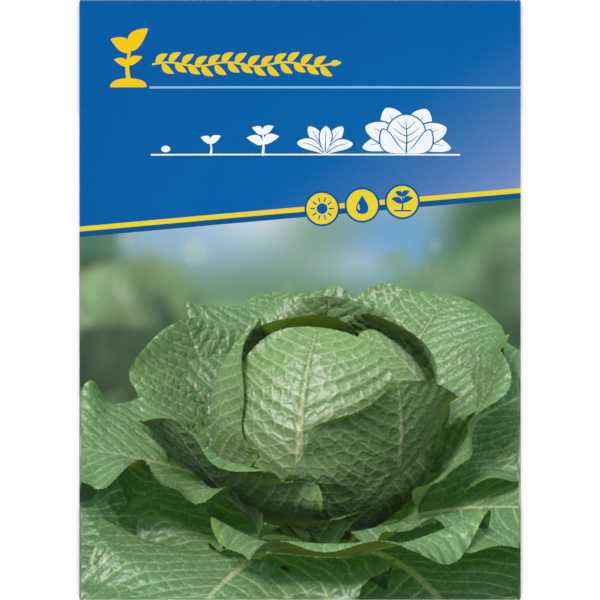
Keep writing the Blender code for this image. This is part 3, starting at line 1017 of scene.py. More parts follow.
def drop_outline(x, y, k, n=26):
    a = np.arange(n) * 2 * PI / n
    wide = 3.3 * np.sin(a) * np.abs(np.sin(a / 2)) ** 1.5
    return np.stack([x + k * wide, y + k * (0.45 + 3.55 * np.cos(a))], 1)


def sun_art(x, y, k, colour):
    art = [(circle(x, y, 2.7 * k, 24), colour)]
    for i in range(10):
        c, s_ = math.cos(i * PI / 5), math.sin(i * PI / 5)
        ray = [(x + r * k * c, y + r * k * s_) for r in (3.7, 4.6, 5.5)]
        art.append((stroke(ray, 0.36 * k), colour))
    return art


def front_art():
    """(outline in print pixels, colour) from the bottom layer to the top."""
    art = []
    # pale rule
    art.append((box(149.5, 511.25, 525, 513.4), PALE_BLUE))
    # emblem: a seedling over a mound of soil
    art.append((stroke(curve([(128.5, 520), (127.4, 534), (130.0, 551)], 9),
                       np.linspace(2.3, 1.3, 19)), AMBER))
    art.append((lens((129.8, 548), (110.8, 561), 13.5, -2.4, 20), AMBER))
    art.append((lens((129.8, 549), (148.0, 571.5), 15.0, 3.0, 22), AMBER))
    art.append((lens((128.2, 534), (114.2, 540.5), 7.4, -1.4, 16), AMBER))
    art.append((lens((128.2, 535), (142.4, 543.0), 7.8, 1.6, 16), AMBER))
    mound = curve([(110, 514.5), (113, 518.2), (119, 520.6), (128.5, 521.6), (138, 520.6),
                   (144, 518.2), (147, 514.5)], 5)
    art.append((np.vstack([mound, [(146, 512.6), (111, 512.6)]]), AMBER))
    # ornament: a garland of leaves
    xs = np.linspace(153, 330, 60)
    wave = 535.5 + 2.0 * np.sin((xs - 153) / 177 * 2 * PI * 3)
    stem = np.stack([xs, wave], 1)
    art.append((stroke(stem, np.full(len(xs), 0.95)), GOLD))
    for k in range(13):
        x = 156 + 13.2 * k
        y = 535.5 + 2.0 * math.sin((x - 153) / 177 * 2 * PI * 3)
        for up in (1, -1):
            a = x + (0.0 if up > 0 else 6.2)
            art.append((lens((a, y), (a + 11.8, y + up * 10.0), 6.9, up * 1.5, 13), GOLD))
    tip = (330.0, 535.5 + 2.0 * math.sin(2 * PI * 3))
    art.append((lens(tip, (tip[0] + 11.5, tip[1] + 1.5), 6.0, 0.5, 12), GOLD))
    # stages of growth over a thin line of ground
    ground = 445.0
    for k, x in enumerate((166, 211, 263)):
        for poly in sprout(x, ground + (2.2 if k == 0 else 0.0), (1.05, 1.25, 1.35)[k], k):
            art.append((poly, WHITE))
    art += young_plant_art(325, ground, 33.0, WHITE, paint_header)
    art += head_art(406, ground, 45.0, WHITE, paint_header)
    art.append((rounded(151, ground - 0.8, 460, ground + 0.8, 0.75, 3), WHITE))
    # three round badges on the stripe: sun, water, a seedling
    for k, x in enumerate((322.0, 362.0, 402.0)):
        y = float(stripe_y(x)) - 1.0
        art.append((circle(x, y, 17.6, 44), DEEP_BLUE))
        art.append((circle(x, y, 15.6, 44), YELLOW))
        if k == 0:
            art += sun_art(x, y, 2.0, BLUE)
        elif k == 1:
            art.append((drop_outline(x, y - 0.6, 2.7), BLUE))
            art.append((lens((x - 2.6, y - 5.2), (x - 3.2, y + 1.4), 2.2, 0.9, 7), YELLOW))
        else:
            for poly in sprout(x, y - 8.6, 0.92, 2):
                art.append((poly, BLUE))
            art.append((rounded(x - 8.6, y - 9.8, x + 8.6, y - 8.2, 0.7, 3), BLUE))
    return art


def slant(x0, x1, lo, hi):
    """A band along the stripe, lo to hi pixels from its middle."""
    return np.array(
        [
            (x0, stripe_y(x0) + lo), (x1, stripe_y(x1) + lo),
            (x1, stripe_y(x1) + hi), (x0, stripe_y(x0) + hi),
        ]
    )


# ---------------------------------------------------------------- back artwork
INK = rgb(18, 62, 112)
SOIL = rgb(126, 92, 62)
SOIL_DARK = rgb(96, 68, 46)
LEAF_GREEN = rgb(96, 142, 66)
LEAF_DARK = rgb(58, 104, 52)
HARVEST = rgb(232, 142, 44)
SKY_BAR = rgb(120, 176, 216)
GRID_LINE = rgb(176, 190, 200)
TINT = rgb(226, 234, 238)

# strokes of the figures, on a cell 1 wide and 2 high
FIGURES = {
    "0": [[(0.5, 2.0), (0.12, 1.6), (0.0, 1.0), (0.12, 0.4), (0.5, 0.0), (0.88, 0.4),
           (1.0, 1.0), (0.88, 1.6), (0.5, 2.0)]],
    "1": [[(0.12, 1.55), (0.62, 2.0), (0.62, 0.0)]],
    "2": [[(0.05, 1.5), (0.25, 1.9), (0.6, 2.0), (0.95, 1.75), (0.92, 1.3), (0.5, 0.75),
           (0.0, 0.0), (1.0, 0.0)]],
    "3": [[(0.05, 1.75), (0.45, 2.0), (0.9, 1.75), (0.85, 1.25), (0.42, 1.05)],
          [(0.42, 1.05), (0.92, 0.8), (0.95, 0.3), (0.5, 0.0), (0.03, 0.28)]],
    "4": [[(0.75, 0.0), (0.75, 2.0), (0.0, 0.6), (1.05, 0.6)]],
    "5": [[(0.92, 2.0), (0.15, 2.0), (0.08, 1.12), (0.5, 1.28), (0.95, 1.0), (0.95, 0.35),
           (0.5, 0.0), (0.03, 0.25)]],
    "6": [[(0.85, 1.9), (0.45, 1.75), (0.1, 1.1), (0.06, 0.45), (0.5, 0.0), (0.95, 0.4),
           (0.88, 0.95), (0.5, 1.15), (0.12, 0.85)]],
    "7": [[(0.0, 2.0), (1.0, 2.0), (0.35, 0.0)]],
    "8": [[(0.5, 1.08), (0.1, 1.35), (0.15, 1.8), (0.5, 2.0), (0.85, 1.8), (0.9, 1.35),
           (0.5, 1.08), (0.03, 0.7), (0.1, 0.2), (0.5, 0.0), (0.9, 0.2), (0.97, 0.7),
           (0.5, 1.08)]],
    "9": [[(0.15, 0.1), (0.55, 0.25), (0.9, 0.9), (0.94, 1.55), (0.5, 2.0), (0.05, 1.6),
           (0.12, 1.05), (0.5, 0.85), (0.88, 1.15)]],
}


def figures(text, x, y, height, weight):
    """Outlines of a plain number centred on x, y."""
    k = height / 2
    gap = 1.55 * k
    x0 = x - (gap * (len(text) - 1) + k) / 2
    out = []
    for i, char in enumerate(text):
        for line in FIGURES[char]:
            pts = [(x0 + i * gap + px * k, y - height / 2 + py * k) for px, py in line]
            out.append(stroke_parts(pts, weight))
    return [p for group in out for p in group]


def stroke_parts(points, width):
    """A bent line as one rounded piece to each straight run."""
    out = []
    for a, b in zip(points, points[1:]):
        a, b = np.array(a, float), np.array(b, float)
        out.append(stroke(np.array([a, (a + b) / 2, b]), width))
    return out


def ring(cx, cy, r, w, colour, fill):
    return [(circle(cx, cy, r + w / 2, 36), colour), (circle(cx, cy, r - w / 2, 36), fill)]


def back_art():
    """(outline in back millimetres as read from behind, colour), bottom up."""
    art = []
    art.append((box(-60, 50.0, 60, 82), BLUE))
    art.append((box(-60, 48.2, 60, 50.0), YELLOW))
    art.append((box(-60, -82, 60, -56.0), BLUE))
    art.append((box(-60, -56.0, 60, -54.8), YELLOW))
    # months of the year, with bars for sowing, planting out and harvest
    x0, w = -43.0, 7.9
    top, row = 43.5, 5.4
    art.append((rounded(x0 - 8.6, top - 4 * row - 0.4, x0 + 12 * w + 0.4, top + 0.4, 1.0), GRID_LINE))
    art.append((rounded(x0 - 8.2, top - 4 * row, x0 + 12 * w, top, 0.7), WHITE))
    art.append((box(x0, top - row, x0 + 12 * w, top - 0.02), TINT))
    for k in range(12):
        x = x0 + k * w
        art.append((box(x - 0.09, top - 4 * row, x + 0.09, top - 0.02), GRID_LINE))
        for poly in figures(str(k + 1), x + w / 2, top - row / 2, 2.5, 0.24):
            art.append((poly, INK))
    for k in range(1, 4):
        y = top - k * row
        art.append((box(x0 - 8.2, y - 0.09, x0 + 12 * w, y + 0.09), GRID_LINE))
    for r, spans in enumerate((((2.1, 4.9),), ((4.2, 6.0),), ((6.4, 9.8),))):
        y = top - (r + 2) * row
        colour = (LEAF_GREEN, SKY_BAR, HARVEST)[r]
        for a, b in spans:
            art.append((rounded(x0 + a * w, y + 1.3, x0 + b * w, y + row - 1.3, 1.1, 4), colour))
    # row symbols: a seed, a seedling, a crate
    y = top - 2 * row + row / 2
    a = np.arange(16) * 2 * PI / 16
    art.append((np.stack([x0 - 4.2 + 1.7 * np.cos(a), y + 1.0 * np.sin(a) + 0.35 * np.cos(a)], 1), SOIL_DARK))
    y = top - 3 * row + 0.9
    for poly in sprout(x0 - 4.2, y, 0.17, 1):
        art.append((poly, LEAF_DARK))
    y = top - 4 * row + 1.0
    art.append((box(x0 - 6.4, y, x0 - 2.0, y + 0.8), SOIL))
    art.append((box(x0 - 6.4, y + 1.1, x0 - 2.0, y + 1.9), SOIL))
    for k in range(3):
        art.append((circle(x0 - 5.7 + 1.5 * k, y + 2.6, 0.72, 14), HARVEST))
    # care symbols
    cy, r = 7.2, 8.0
    for k, cx in enumerate((-42.0, -14.0, 14.0, 42.0)):
        art += ring(cx, cy, r, 0.7, INK, WHITE)
    art += sun_art(-42.0, cy, 1.0, HARVEST)  # a sunny place
    cx = -14.0  # keep moist
    for dx, dy, k in ((0, 0.6, 1.0), (-3.7, -2.4, 0.55), (3.7, -2.4, 0.55)):
        art.append((drop_outline(cx + dx, cy + dy, k), SKY_BAR))
    cx = 14.0  # room between the plants
    for dx in (-3.9, 3.9):
        for poly in sprout(cx + dx, cy - 2.0, 0.21, 2):
            art.append((poly, LEAF_DARK))
    art.append((stroke([(cx - 3.4, cy - 4.0), (cx, cy - 4.0), (cx + 3.4, cy - 4.0)], 0.22), INK))
    for sgn in (-1, 1):
        art.append((np.array([(cx + sgn * 4.6, cy - 4.0), (cx + sgn * 3.1, cy - 3.2),
                              (cx + sgn * 3.1, cy - 4.8)][:: -sgn]), INK))
    cx = 42.0  # depth of sowing
    soil = [(cx + 6.2 * math.cos(v), cy + 6.2 * math.sin(v)) for v in np.linspace(PI + 0.12, 2 * PI - 0.12, 15)]
    art.append((np.array(soil), SOIL))
    art.append((circle(cx + 1.2, cy - 3.4, 0.95, 16, 0.7), CREAM))
    art.append((stroke([(cx - 2.2, cy + 1.6), (cx - 2.2, cy - 0.6), (cx - 2.2, cy - 2.8)], 0.24), INK))
    art.append((np.array([(cx - 2.2, cy - 4.1), (cx - 1.4, cy - 2.6), (cx - 3.0, cy - 2.6)]), INK))
    # from seed to plant, in a bed of soil with a scale of depth
    y = -30.0
    art.append((rounded(-50, y - 15.5, 50, y, 1.4, 4), SOIL))
    art.append((box(-50, y - 1.7, 50, y - 0.02), SOIL_DARK))
    for k in range(5):
        yy = y - 0.2 - 3.6 * k
        art.append((box(-50.0, yy - 0.12, -46.4 if k % 2 == 0 else -47.6, yy + 0.12), CREAM))
    for k, x in enumerate((-40, -24, -6.5, 13, 40)):
        if k == 0:
            art.append((circle(x, y - 5.4, 1.5, 18, 1.05), CREAM))
            continue
        if k == 3:
            art += young_plant_art(x, y - 0.3, 10.0, LEAF_DARK, CREAM, 0.045)
        elif k == 4:
            art += head_art(x - 2.5, y - 0.3, 13.2, LEAF_GREEN, CREAM, 0.036)
        else:
            for poly in sprout(x, y - 0.3, 0.40 + 0.055 * k, k):
                art.append((poly, LEAF_DARK if k % 2 else LEAF_GREEN))
        roots = (3.2 + 2.1 * k)
        art.append((stroke([(x, y - 0.2), (x + 0.3, y - roots / 2), (x - 0.2, y - roots)],
                           [0.42, 0.3, 0.14]), CREAM))
        for sgn in (-1, 1):
            art.append((stroke([(x, y - 1.6), (x + sgn * (1.2 + 0.5 * k), y - 2.4 - 0.5 * k),
                                (x + sgn * (1.7 + 0.8 * k), y - 3.6 - 1.1 * k)],
                               [0.26, 0.2, 0.1]), CREAM))
    return art


def half_plane(poly, x, keep_less):
    """The part of an outline on one side of an upright line."""
    out = []
    for a, b in zip(poly, np.roll(poly, -1, axis=0)):
        ia = a[0] <= x if keep_less else a[0] >= x
        ib = b[0] <= x if keep_less else b[0] >= x
        if ia:
            out.append(a)
        if ia != ib:
            f = (x - a[0]) / (b[0] - a[0])
            out.append(a + f * (b - a))
    return np.array(out) if len(out) >= 3 else None


# ------------------------------------------------------------ the printed sheet
PICTURE_LOW_T = -(BODY_T + 1.01)  # the picture's bottom edge, just round the fold
STRIPE_HALF = 2.45
UNDERLINE = 5.5


def blank_outline():
    fold = BODY_T + FOLD_T
    top = fold + TOP_FLAP - END_R
    low = fold + BOTTOM_FLAP - END_R
    narrow = FLAP_X - FLAP_TAPER
    return np.array(
        [
            (BLANK_S, BODY_T), (FLAP_X + CORNER_W, BODY_T), (FLAP_X, BODY_T), (FLAP_X, fold),
            (narrow, top), (-narrow, top), (-FLAP_X, fold), (-FLAP_X, BODY_T),
            (-FLAP_X - CORNER_W, BODY_T), (-BLANK_S, BODY_T), (-BLANK_S, -BODY_T),
            (-FLAP_X - CORNER_W, -BODY_T), (-FLAP_X, -BODY_T), (-FLAP_X, -fold), (-narrow, -low),
            (narrow, -low), (FLAP_X, -fold), (FLAP_X, -BODY_T), (FLAP_X + CORNER_W, -BODY_T),
            (BLANK_S, -BODY_T),
        ]
    )


def hex_points(x0, y0, x1, y1, spacing, seed=0, jitter=0.0):
    rows = np.arange(y0, y1, spacing * 0.866)
    out = []
    for k, y in enumerate(rows):
        x = np.arange(x0 + (k % 2) * spacing / 2, x1, spacing)
        out.append(np.stack([x, np.full(len(x), y)], 1))
    pts = np.vstack(out)
    if jitter:
        rng = np.random.default_rng(seed)
        pts = pts + rng.uniform(-jitter, jitter, pts.shape) * spacing
    return pts


class Layout:
    """Outlines, fold lines and points of the flat sheet, to be triangulated."""

    def __init__(self):
        self.verts, self.edges, self.outlines, self.paints = [], [], [], []
        self.count = 0

    def points(self, pts):
        first = self.count
        self.verts.append(np.asarray(pts, float))
        self.count += len(pts)
        return np.arange(first, self.count)

    def line(self, pts):
        idx = self.points(pts)
        self.edges += [(int(a), int(b)) for a, b in zip(idx, idx[1:])]

    def region(self, poly, paint, spacing=2.6):
        idx = self.points(resample(poly, spacing) if spacing else poly)
        self.edges += [(int(a), int(b)) for a, b in zip(idx, np.roll(idx, -1))]
        self.outlines.append(np.asarray(poly, float))
        self.paints.append(paint)
        return len(self.paints) - 1

    def solve(self, coarse, fine):
        """Triangles and the uppermost region of each; the free points keep
        off the drawn lines."""
        fixed = np.vstack(self.verts)
        drawn = []
        for i, j in self.edges:
            a, b = fixed[i], fixed[j]
            n = max(1, int(np.linalg.norm(b - a) / 0.22))
            drawn.append(a + (b - a) * (np.arange(n) / n)[:, None])
        drawn = np.vstack(drawn)
        tree = kdtree.KDTree(len(drawn))
        for i, p in enumerate(drawn.tolist()):
            tree.insert((p[0], p[1], 0.0), i)
        tree.balance()
        free = []
        for pts, gap in ((coarse, 0.55), (fine, 0.17)):
            find = tree.find
            keep = [find((x, y, 0.0))[2] > gap for x, y in pts.tolist()]
            free.append(pts[np.array(keep, dtype=bool)])
        verts = np.vstack([fixed, *free])
        result = delaunay_2d_cdt(
            [Vector(p) for p in verts.tolist()], self.edges, [], 0, 1e-4, False
        )
        pts = np.array([tuple(v) for v in result[0]])
        tris = np.array(result[2])
        a, b, c = (pts[tris[:, k]] for k in range(3))
        area = (b[:, 0] - a[:, 0]) * (c[:, 1] - a[:, 1]) - (b[:, 1] - a[:, 1]) * (
            c[:, 0] - a[:, 0]
        )
        tris[area < 0] = tris[area < 0][:, [0, 2, 1]]
        centre = (a + b + c) / 3
        top = np.full(len(tris), -1)
        for number, outline in enumerate(self.outlines):
            near = near_box(centre[:, 0], centre[:, 1], outline, 0.0)
            ids = np.nonzero(near)[0]
            top[ids[inside(centre[ids, 0], centre[ids, 1], outline)]] = number
        # only what lies on the blank is kept
        ids = inside(centre[:, 0], centre[:, 1], self.outlines[0])
        return pts, tris[ids], top[ids]


def side_s(x, sign):
    """Blank coordinate of a point on a back panel."""
    return sign * (BACK_S + FRONT_X - sign * x)


def spread_points(weight, count):
    """Picks about count cells of a grid, as dense as the weight asks, by
    passing each cell's rounding error on to its neighbours."""
    lo, hi = 0.0, 1e6
    for _ in range(60):
        gain = (lo + hi) / 2
        lo, hi = (gain, hi) if np.minimum(weight * gain, 1.0).sum() < count else (lo, gain)
    density = np.minimum(weight * gain, 1.0)
    rows, cols = weight.shape
    chosen = np.zeros(weight.shape, dtype=bool)
    owed = [0.0] * (cols + 2)
    for y in range(rows):
        want, ahead, nxt = density[y].tolist(), 0.0, [0.0] * (cols + 2)
        way = 1 if y % 2 == 0 else -1
        for x in range(cols)[::way]:
            if want[x] == 0.0:
                ahead = 0.0
                continue
            v = want[x] + owed[x + 1] + ahead
            if v >= 0.5:
                chosen[y, x] = True
                v -= 1.0
            ahead = v * 0.4375
            nxt[x + 1 - way] += v * 0.1875
            nxt[x + 1] += v * 0.3125
            nxt[x + 1 + way] += v * 0.0625
        owed = nxt
    return chosen


def picture_points(picture, low, spacing, count):
    """Points for the picture: close together where it has fine detail, with
    the leaves' outlines traced."""
    x0, x1 = -(FRONT_X - 0.12), FRONT_X - 0.12
    y0, y1 = low, float(to_blank([0, stripe_y(521)])[1])
    gx, gy = np.meshgrid(np.arange(x0, x1, spacing), np.arange(y0, y1, spacing))
    shape = gx.shape
    px, py = 300 + gx / PX, 300 + gy / PX
    edge_y = stripe_y(px) - STRIPE_HALF - UNDERLINE
    inside_ = py < edge_y + 1.5
    leaf, depth = picture.see(px.ravel(), py.ravel())
    leaf, depth = leaf.reshape(shape), depth.reshape(shape)
    tone = np.zeros(shape)
    use = py < edge_y + 4.0
    c = picture.colours(px[use], py[use])
    tone[use] = (c @ np.array([0.30, 0.59, 0.11])) ** (1 / 2.2)
    # how sharply the tone bends at each cell, apart from at outlines
    t = np.pad(tone, 1, mode="edge")
    xx = t[1:-1, 2:] - 2 * tone + t[1:-1, :-2]
    yy = t[2:, 1:-1] - 2 * tone + t[:-2, 1:-1]
    xy = (t[2:, 2:] - t[2:, :-2] - t[:-2, 2:] + t[:-2, :-2]) / 4
    bend = np.abs(xx + yy) / 2 + np.sqrt(((xx - yy) / 2) ** 2 + xy**2)
    near_outline = np.zeros(shape, dtype=bool)
    for dy, dx in ((0, 1), (1, 0), (1, 1), (1, -1)):
        other = np.roll(leaf, (-dy, -dx), (0, 1))
        jump = (leaf != other) | (np.abs(depth - np.roll(depth, (-dy, -dx), (0, 1))) > 0.55)
        near_outline |= jump | np.roll(jump, (dy, dx), (0, 1))
    bend = np.where(near_outline, 0.010, np.minimum(bend, 0.12))
    b = np.pad(bend, 1, mode="edge")
    rows, cols = shape
    bend = sum(b[i : i + rows, j : j + cols] for i in range(3) for j in range(3)) / 9
    weight = (bend + 0.0012) ** 0.62 * inside_
    grid = np.stack([gx, gy], -1)[spread_points(weight, count)]
    # every second line of cells is enough to trace the outlines
    number = np.arange(gx.size).reshape(shape)[::2, ::2]
    pairs = np.vstack(
        [
            np.stack([number[:, :-1].ravel(), number[:, 1:].ravel()], 1),
            np.stack([number[:-1].ravel(), number[1:].ravel()], 1),
        ]
    )
    outline = to_blank(
        picture.outlines(px.ravel(), py.ravel(), leaf.ravel(), depth.ravel(), pairs, 0.42)
    )
    ok = (np.abs(outline[:, 0]) < x1) & (outline[:, 1] > y0 + 0.1)
    ok &= 300 + outline[:, 1] / PX < stripe_y(300 + outline[:, 0] / PX) - STRIPE_HALF - UNDERLINE
    outline = outline[ok]
    # grid points that nearly touch an outline give way to it
    tree = kdtree.KDTree(len(outline))
    for i, (x, y) in enumerate(outline.tolist()):
        tree.insert((x, y, 0.0), i)
    tree.balance()
    far = [tree.find((x, y, 0.0))[2] > 0.16 for x, y in grid.tolist()]
    return np.vstack([grid[np.array(far)], outline])


def boundary_loop(tris):
    """The ordered outer edge of a triangulated sheet."""
    e = np.vstack([tris[:, [0, 1]], tris[:, [1, 2]], tris[:, [2, 0]]])
    key = e[:, 0].astype(np.int64) * 10_000_000 + e[:, 1]
    back = e[:, 1].astype(np.int64) * 10_000_000 + e[:, 0]
    rim = e[~np.isin(key, back)]
    follow = dict(zip(rim[:, 0].tolist(), rim[:, 1].tolist()))
    start = int(rim[0, 0])
    loop, at = [start], follow[start]
    while at != start:
        loop.append(at)
        at = follow[at]
    assert len(loop) == len(rim), "the sheet has a hole or a split"
    return np.array(loop)


def fold_lines(layout, inner=False):
    """Drawn lines along each fold, so that the folds come out round."""
    gap, n = (5.0 if inner else 2.6), 8
    t = np.linspace(-BODY_T, BODY_T, int(2 * BODY_T / gap) + 1)
    for sign in (-1, 1):
        for k in range(n + 1):
            s = sign * (FRONT_X + FOLD_S * k / n)
            layout.line(np.stack([np.full(len(t), s), t], 1))
    s = np.linspace(-FLAP_X, FLAP_X, int(2 * FLAP_X / (gap * 0.8)) + 1)
    for sign in (-1, 1):
        for k in range(n + 1):
            y = sign * (BODY_T + FOLD_T * k / n)
            layout.line(np.stack([s, np.full(len(s), y)], 1))
    for x in (-SEAM_HALF - 1.2 - SEAM_RAMP + SEAM_RAMP * np.linspace(0, 1, 6)):
        a = np.full(len(t), side_s(x, -1))
        layout.line(np.stack([a, t], 1))


def sheet_uv(s, t):
    """A place for every part of the blank on the unit square."""
    a, sg = np.abs(s), np.where(np.asarray(s) < 0, -1.0, 1.0)
    front = 0.31 * np.minimum(a, PRINT_EDGE) / PRINT_EDGE
    back = 0.185 * np.clip((a - PRINT_EDGE) / (BLANK_S - PRINT_EDGE), 0, 1)
    b, st = np.abs(t), np.where(np.asarray(t) < 0, -1.0, 1.0)
    body = 0.42 * np.minimum(b, BODY_T + 1.0) / (BODY_T + 1.0)
    flap = 0.075 * np.clip((b - BODY_T - 1.0) / 22.5, 0, 1)
    return np.stack([0.5 + sg * (front + back), 0.5 + st * (body + flap)], -1)


def join_close_points(mesh, reach):
    """Closes up the slivers where outlines of the print nearly meet."""
    bm = bmesh.new()
    bm.from_mesh(mesh)
    bmesh.ops.remove_doubles(bm, verts=list(bm.verts), dist=reach)
    bm.to_mesh(mesh)
    bm.free()
    mesh.update()


def build_sheet(picture):
    px_left, px_right = 300 - PRINT_EDGE / PX, 300 + PRINT_EDGE / PX
    layout = Layout()
    low_end = BODY_T + FOLD_T + BOTTOM_FLAP
    top_end = BODY_T + FOLD_T + TOP_FLAP
    layout.region(blank_outline(), CREAM)
    layout.region(box(-PRINT_EDGE, -low_end, PRINT_EDGE, PICTURE_LOW_T), BLUE)
    under = to_blank(slant(px_left, px_right, -STRIPE_HALF - UNDERLINE, 0.0))
    header = np.array(
        [tuple(under[0]), tuple(under[1]), (PRINT_EDGE, top_end), (-PRINT_EDGE, top_end)]
    )
    layout.region(header, paint_header)
    outline = np.array(
        [(-PRINT_EDGE, PICTURE_LOW_T), (PRINT_EDGE, PICTURE_LOW_T), tuple(under[1]), tuple(under[0])]
    )
    picture_id = layout.region(outline, None, 1.0)
    layout.region(under, DEEP_BLUE, 1.6)
    layout.region(
        to_blank(slant(px_left, px_right, -STRIPE_HALF, STRIPE_HALF)), YELLOW, 1.6
    )
    for poly, colour in front_art():
        poly = to_blank(poly)
        poly = half_plane(poly, PRINT_EDGE, True)
        layout.region(poly, colour)
    edge = BACK_S + FRONT_X - PRINT_EDGE - 0.01
    for poly, colour in back_art():
        poly = np.asarray(poly, float)
        for sign in (1, -1):
            part = half_plane(poly, 6.0 if sign > 0 else 4.0, sign > 0)
            if part is None:
                continue
            part = half_plane(part, -edge if sign > 0 else edge, sign < 0)
            if part is None:
                continue
            y = np.clip(part[:, 1], -BODY_T, BODY_T)
            if y.max() - y.min() < 0.02:
                continue
            s = side_s(-part[:, 0], sign)
            part = np.stack([s, y], 1)
            layout.region(part, colour)
    fold_lines(layout)
    # free points
    coarse = [
        hex_points(-FRONT_X, -4, FRONT_X, BODY_T - 0.3, 2.4, 1, 0.12),
        hex_points(BACK_S, -BODY_T, BLANK_S, BODY_T, 3.2, 2, 0.12),
        hex_points(-BLANK_S, -BODY_T, -BACK_S, BODY_T, 3.2, 3, 0.12),
        hex_points(-FLAP_X, BODY_T + FOLD_T, FLAP_X, top_end, 3.2, 4, 0.12),
        hex_points(-FLAP_X, -low_end, FLAP_X, -BODY_T - FOLD_T, 3.2, 5, 0.12),
    ]
    coarse = np.vstack(coarse)
    px, py = 300 + coarse[:, 0] / PX, 300 + coarse[:, 1] / PX
    in_picture = (
        (np.abs(coarse[:, 0]) < PRINT_EDGE) & (coarse[:, 1] > PICTURE_LOW_T)
        & (py < stripe_y(px) - STRIPE_HALF)
    )
    coarse = coarse[~in_picture]
    detail = ((0.25, 60600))
    fine = picture_points(picture, -BODY_T + 0.12, *detail)
    flat, tris, top = layout.solve(coarse, fine)
    # number only the points in use
    used, tris = np.unique(tris, return_inverse=True)
    tris = tris.reshape(-1, 3)
    flat = flat[used]
    loop = boundary_loop(tris)
    print("printed side:", len(flat), "points,", len(tris), "triangles")

    # colours at each triangle's corners
    ink = np.ones((len(tris), 3, 3))
    for number, paint in enumerate(layout.paints):
        mine = top == number
        if not mine.any():
            continue
        if number == picture_id:
            ids, inv = np.unique(tris[mine], return_inverse=True)
            c = picture.colours(300 + flat[ids, 0] / PX, 300 + flat[ids, 1] / PX)
            ink[mine] = c[inv.reshape(-1, 3)]
        elif callable(paint):
            corner = flat[tris[mine]]
            c = paint(corner[..., 0].ravel(), corner[..., 1].ravel())
            ink[mine] = c.reshape(-1, 3, 3)
        else:
            ink[mine] = paint

    # the unprinted side follows the same edge with fewer triangles
    under_side = Layout()
    n = len(loop)
    under_side.region(flat[loop], None, None)
    fold_lines(under_side, inner=True)
    inner_pts = np.vstack(
        [
            hex_points(-FRONT_X, -BODY_T, FRONT_X, BODY_T, 4.2, 6, 0.1),
            hex_points(BACK_S, -BODY_T, BLANK_S, BODY_T, 5.0, 7, 0.1),
            hex_points(-BLANK_S, -BODY_T, -BACK_S, BODY_T, 5.0, 8, 0.1),
            hex_points(-FLAP_X, BODY_T + FOLD_T, FLAP_X, top_end, 5.0, 9, 0.1),
            hex_points(-FLAP_X, -low_end, FLAP_X, -BODY_T - FOLD_T, 5.0, 10, 0.1),
        ]
    )
    flat_in, tris_in, _ = under_side.solve(inner_pts, np.zeros((0, 2)))
    used, tris_in = np.unique(tris_in, return_inverse=True)
    tris_in = tris_in.reshape(-1, 3)
    flat_in = flat_in[used]
    loop_in = boundary_loop(tris_in)
    # line the two loops up
    first = int(np.argmin(np.linalg.norm(flat_in[loop_in] - flat[loop[0]], axis=1)))
    loop_in = np.roll(loop_in, -first)
    assert len(loop_in) == n, "the two sides' edges differ"
    assert np.abs(flat_in[loop_in] - flat[loop]).max() < 1e-3

    outer = sheet_point(flat[:, 0], flat[:, 1], PAPER_T / 2)
    inner = sheet_point(flat_in[:, 0], flat_in[:, 1], -PAPER_T / 2)
    verts = np.vstack([outer, inner]) / 1000.0
    shift = len(outer)
    nxt = np.roll(loop, -1)
    nxt_in = np.roll(loop_in, -1)
    rim = np.stack([nxt, loop, loop_in + shift, nxt_in + shift], 1)
    rim = np.vstack([rim[:, [0, 1, 2]], rim[:, [0, 2, 3]]])
    faces = np.vstack([tris, tris_in[:, ::-1] + shift, rim])

    mesh = bpy.data.meshes.new("packet_paper")
    mesh.vertices.add(len(verts))
    mesh.vertices.foreach_set("co", verts.ravel())
    mesh.loops.add(3 * len(faces))
    mesh.loops.foreach_set("vertex_index", faces.ravel().astype(np.int32))
    mesh.polygons.add(len(faces))
    mesh.polygons.foreach_set("loop_start", np.arange(0, 3 * len(faces), 3, dtype=np.int32))
    slots = np.ones(len(faces), dtype=np.int32)
    slots[: len(tris)] = 0
    mesh.polygons.foreach_set("material_index", slots)
    mesh.update(calc_edges=True)
    mesh.validate()
    mesh.shade_smooth()
    mesh.set_sharp_from_angle(angle=math.radians(62))

    colour = np.ones((len(faces) * 3, 4))
    colour[: 3 * len(tris), :3] = ink.reshape(-1, 3)
    layer = mesh.attributes.new("ink", "FLOAT_COLOR", "CORNER")
    layer.data.foreach_set("color", colour.ravel())

    # how near each point is to the crown of a fold
    s, t = np.abs(flat[:, 0]), np.abs(flat[:, 1])
    side = np.exp(-(((s - FRONT_X - FOLD_S / 2) / 0.26) ** 2))
    end = 0.25 * np.exp(-(((t - BODY_T - FOLD_T / 2) / 0.40) ** 2)) * (s < FLAP_X + 0.1)
    wear = np.zeros(len(verts))
    wear[:shift] = np.maximum(side, end)
    layer = mesh.attributes.new("wear", "FLOAT", "POINT")
    layer.data.foreach_set("value", wear)

    uv = np.zeros((len(faces), 3, 2))
    uv[: len(tris)] = sheet_uv(flat[tris][..., 0], flat[tris][..., 1])
    span = np.array([BLANK_S, BODY_T + 24.0])
    c = flat_in[tris_in[:, ::-1]] / span / 2 + 0.5
    uv[len(tris) : len(tris) + len(tris_in)] = np.array([0.01, 0.006]) + c * np.array([0.16, 0.055])
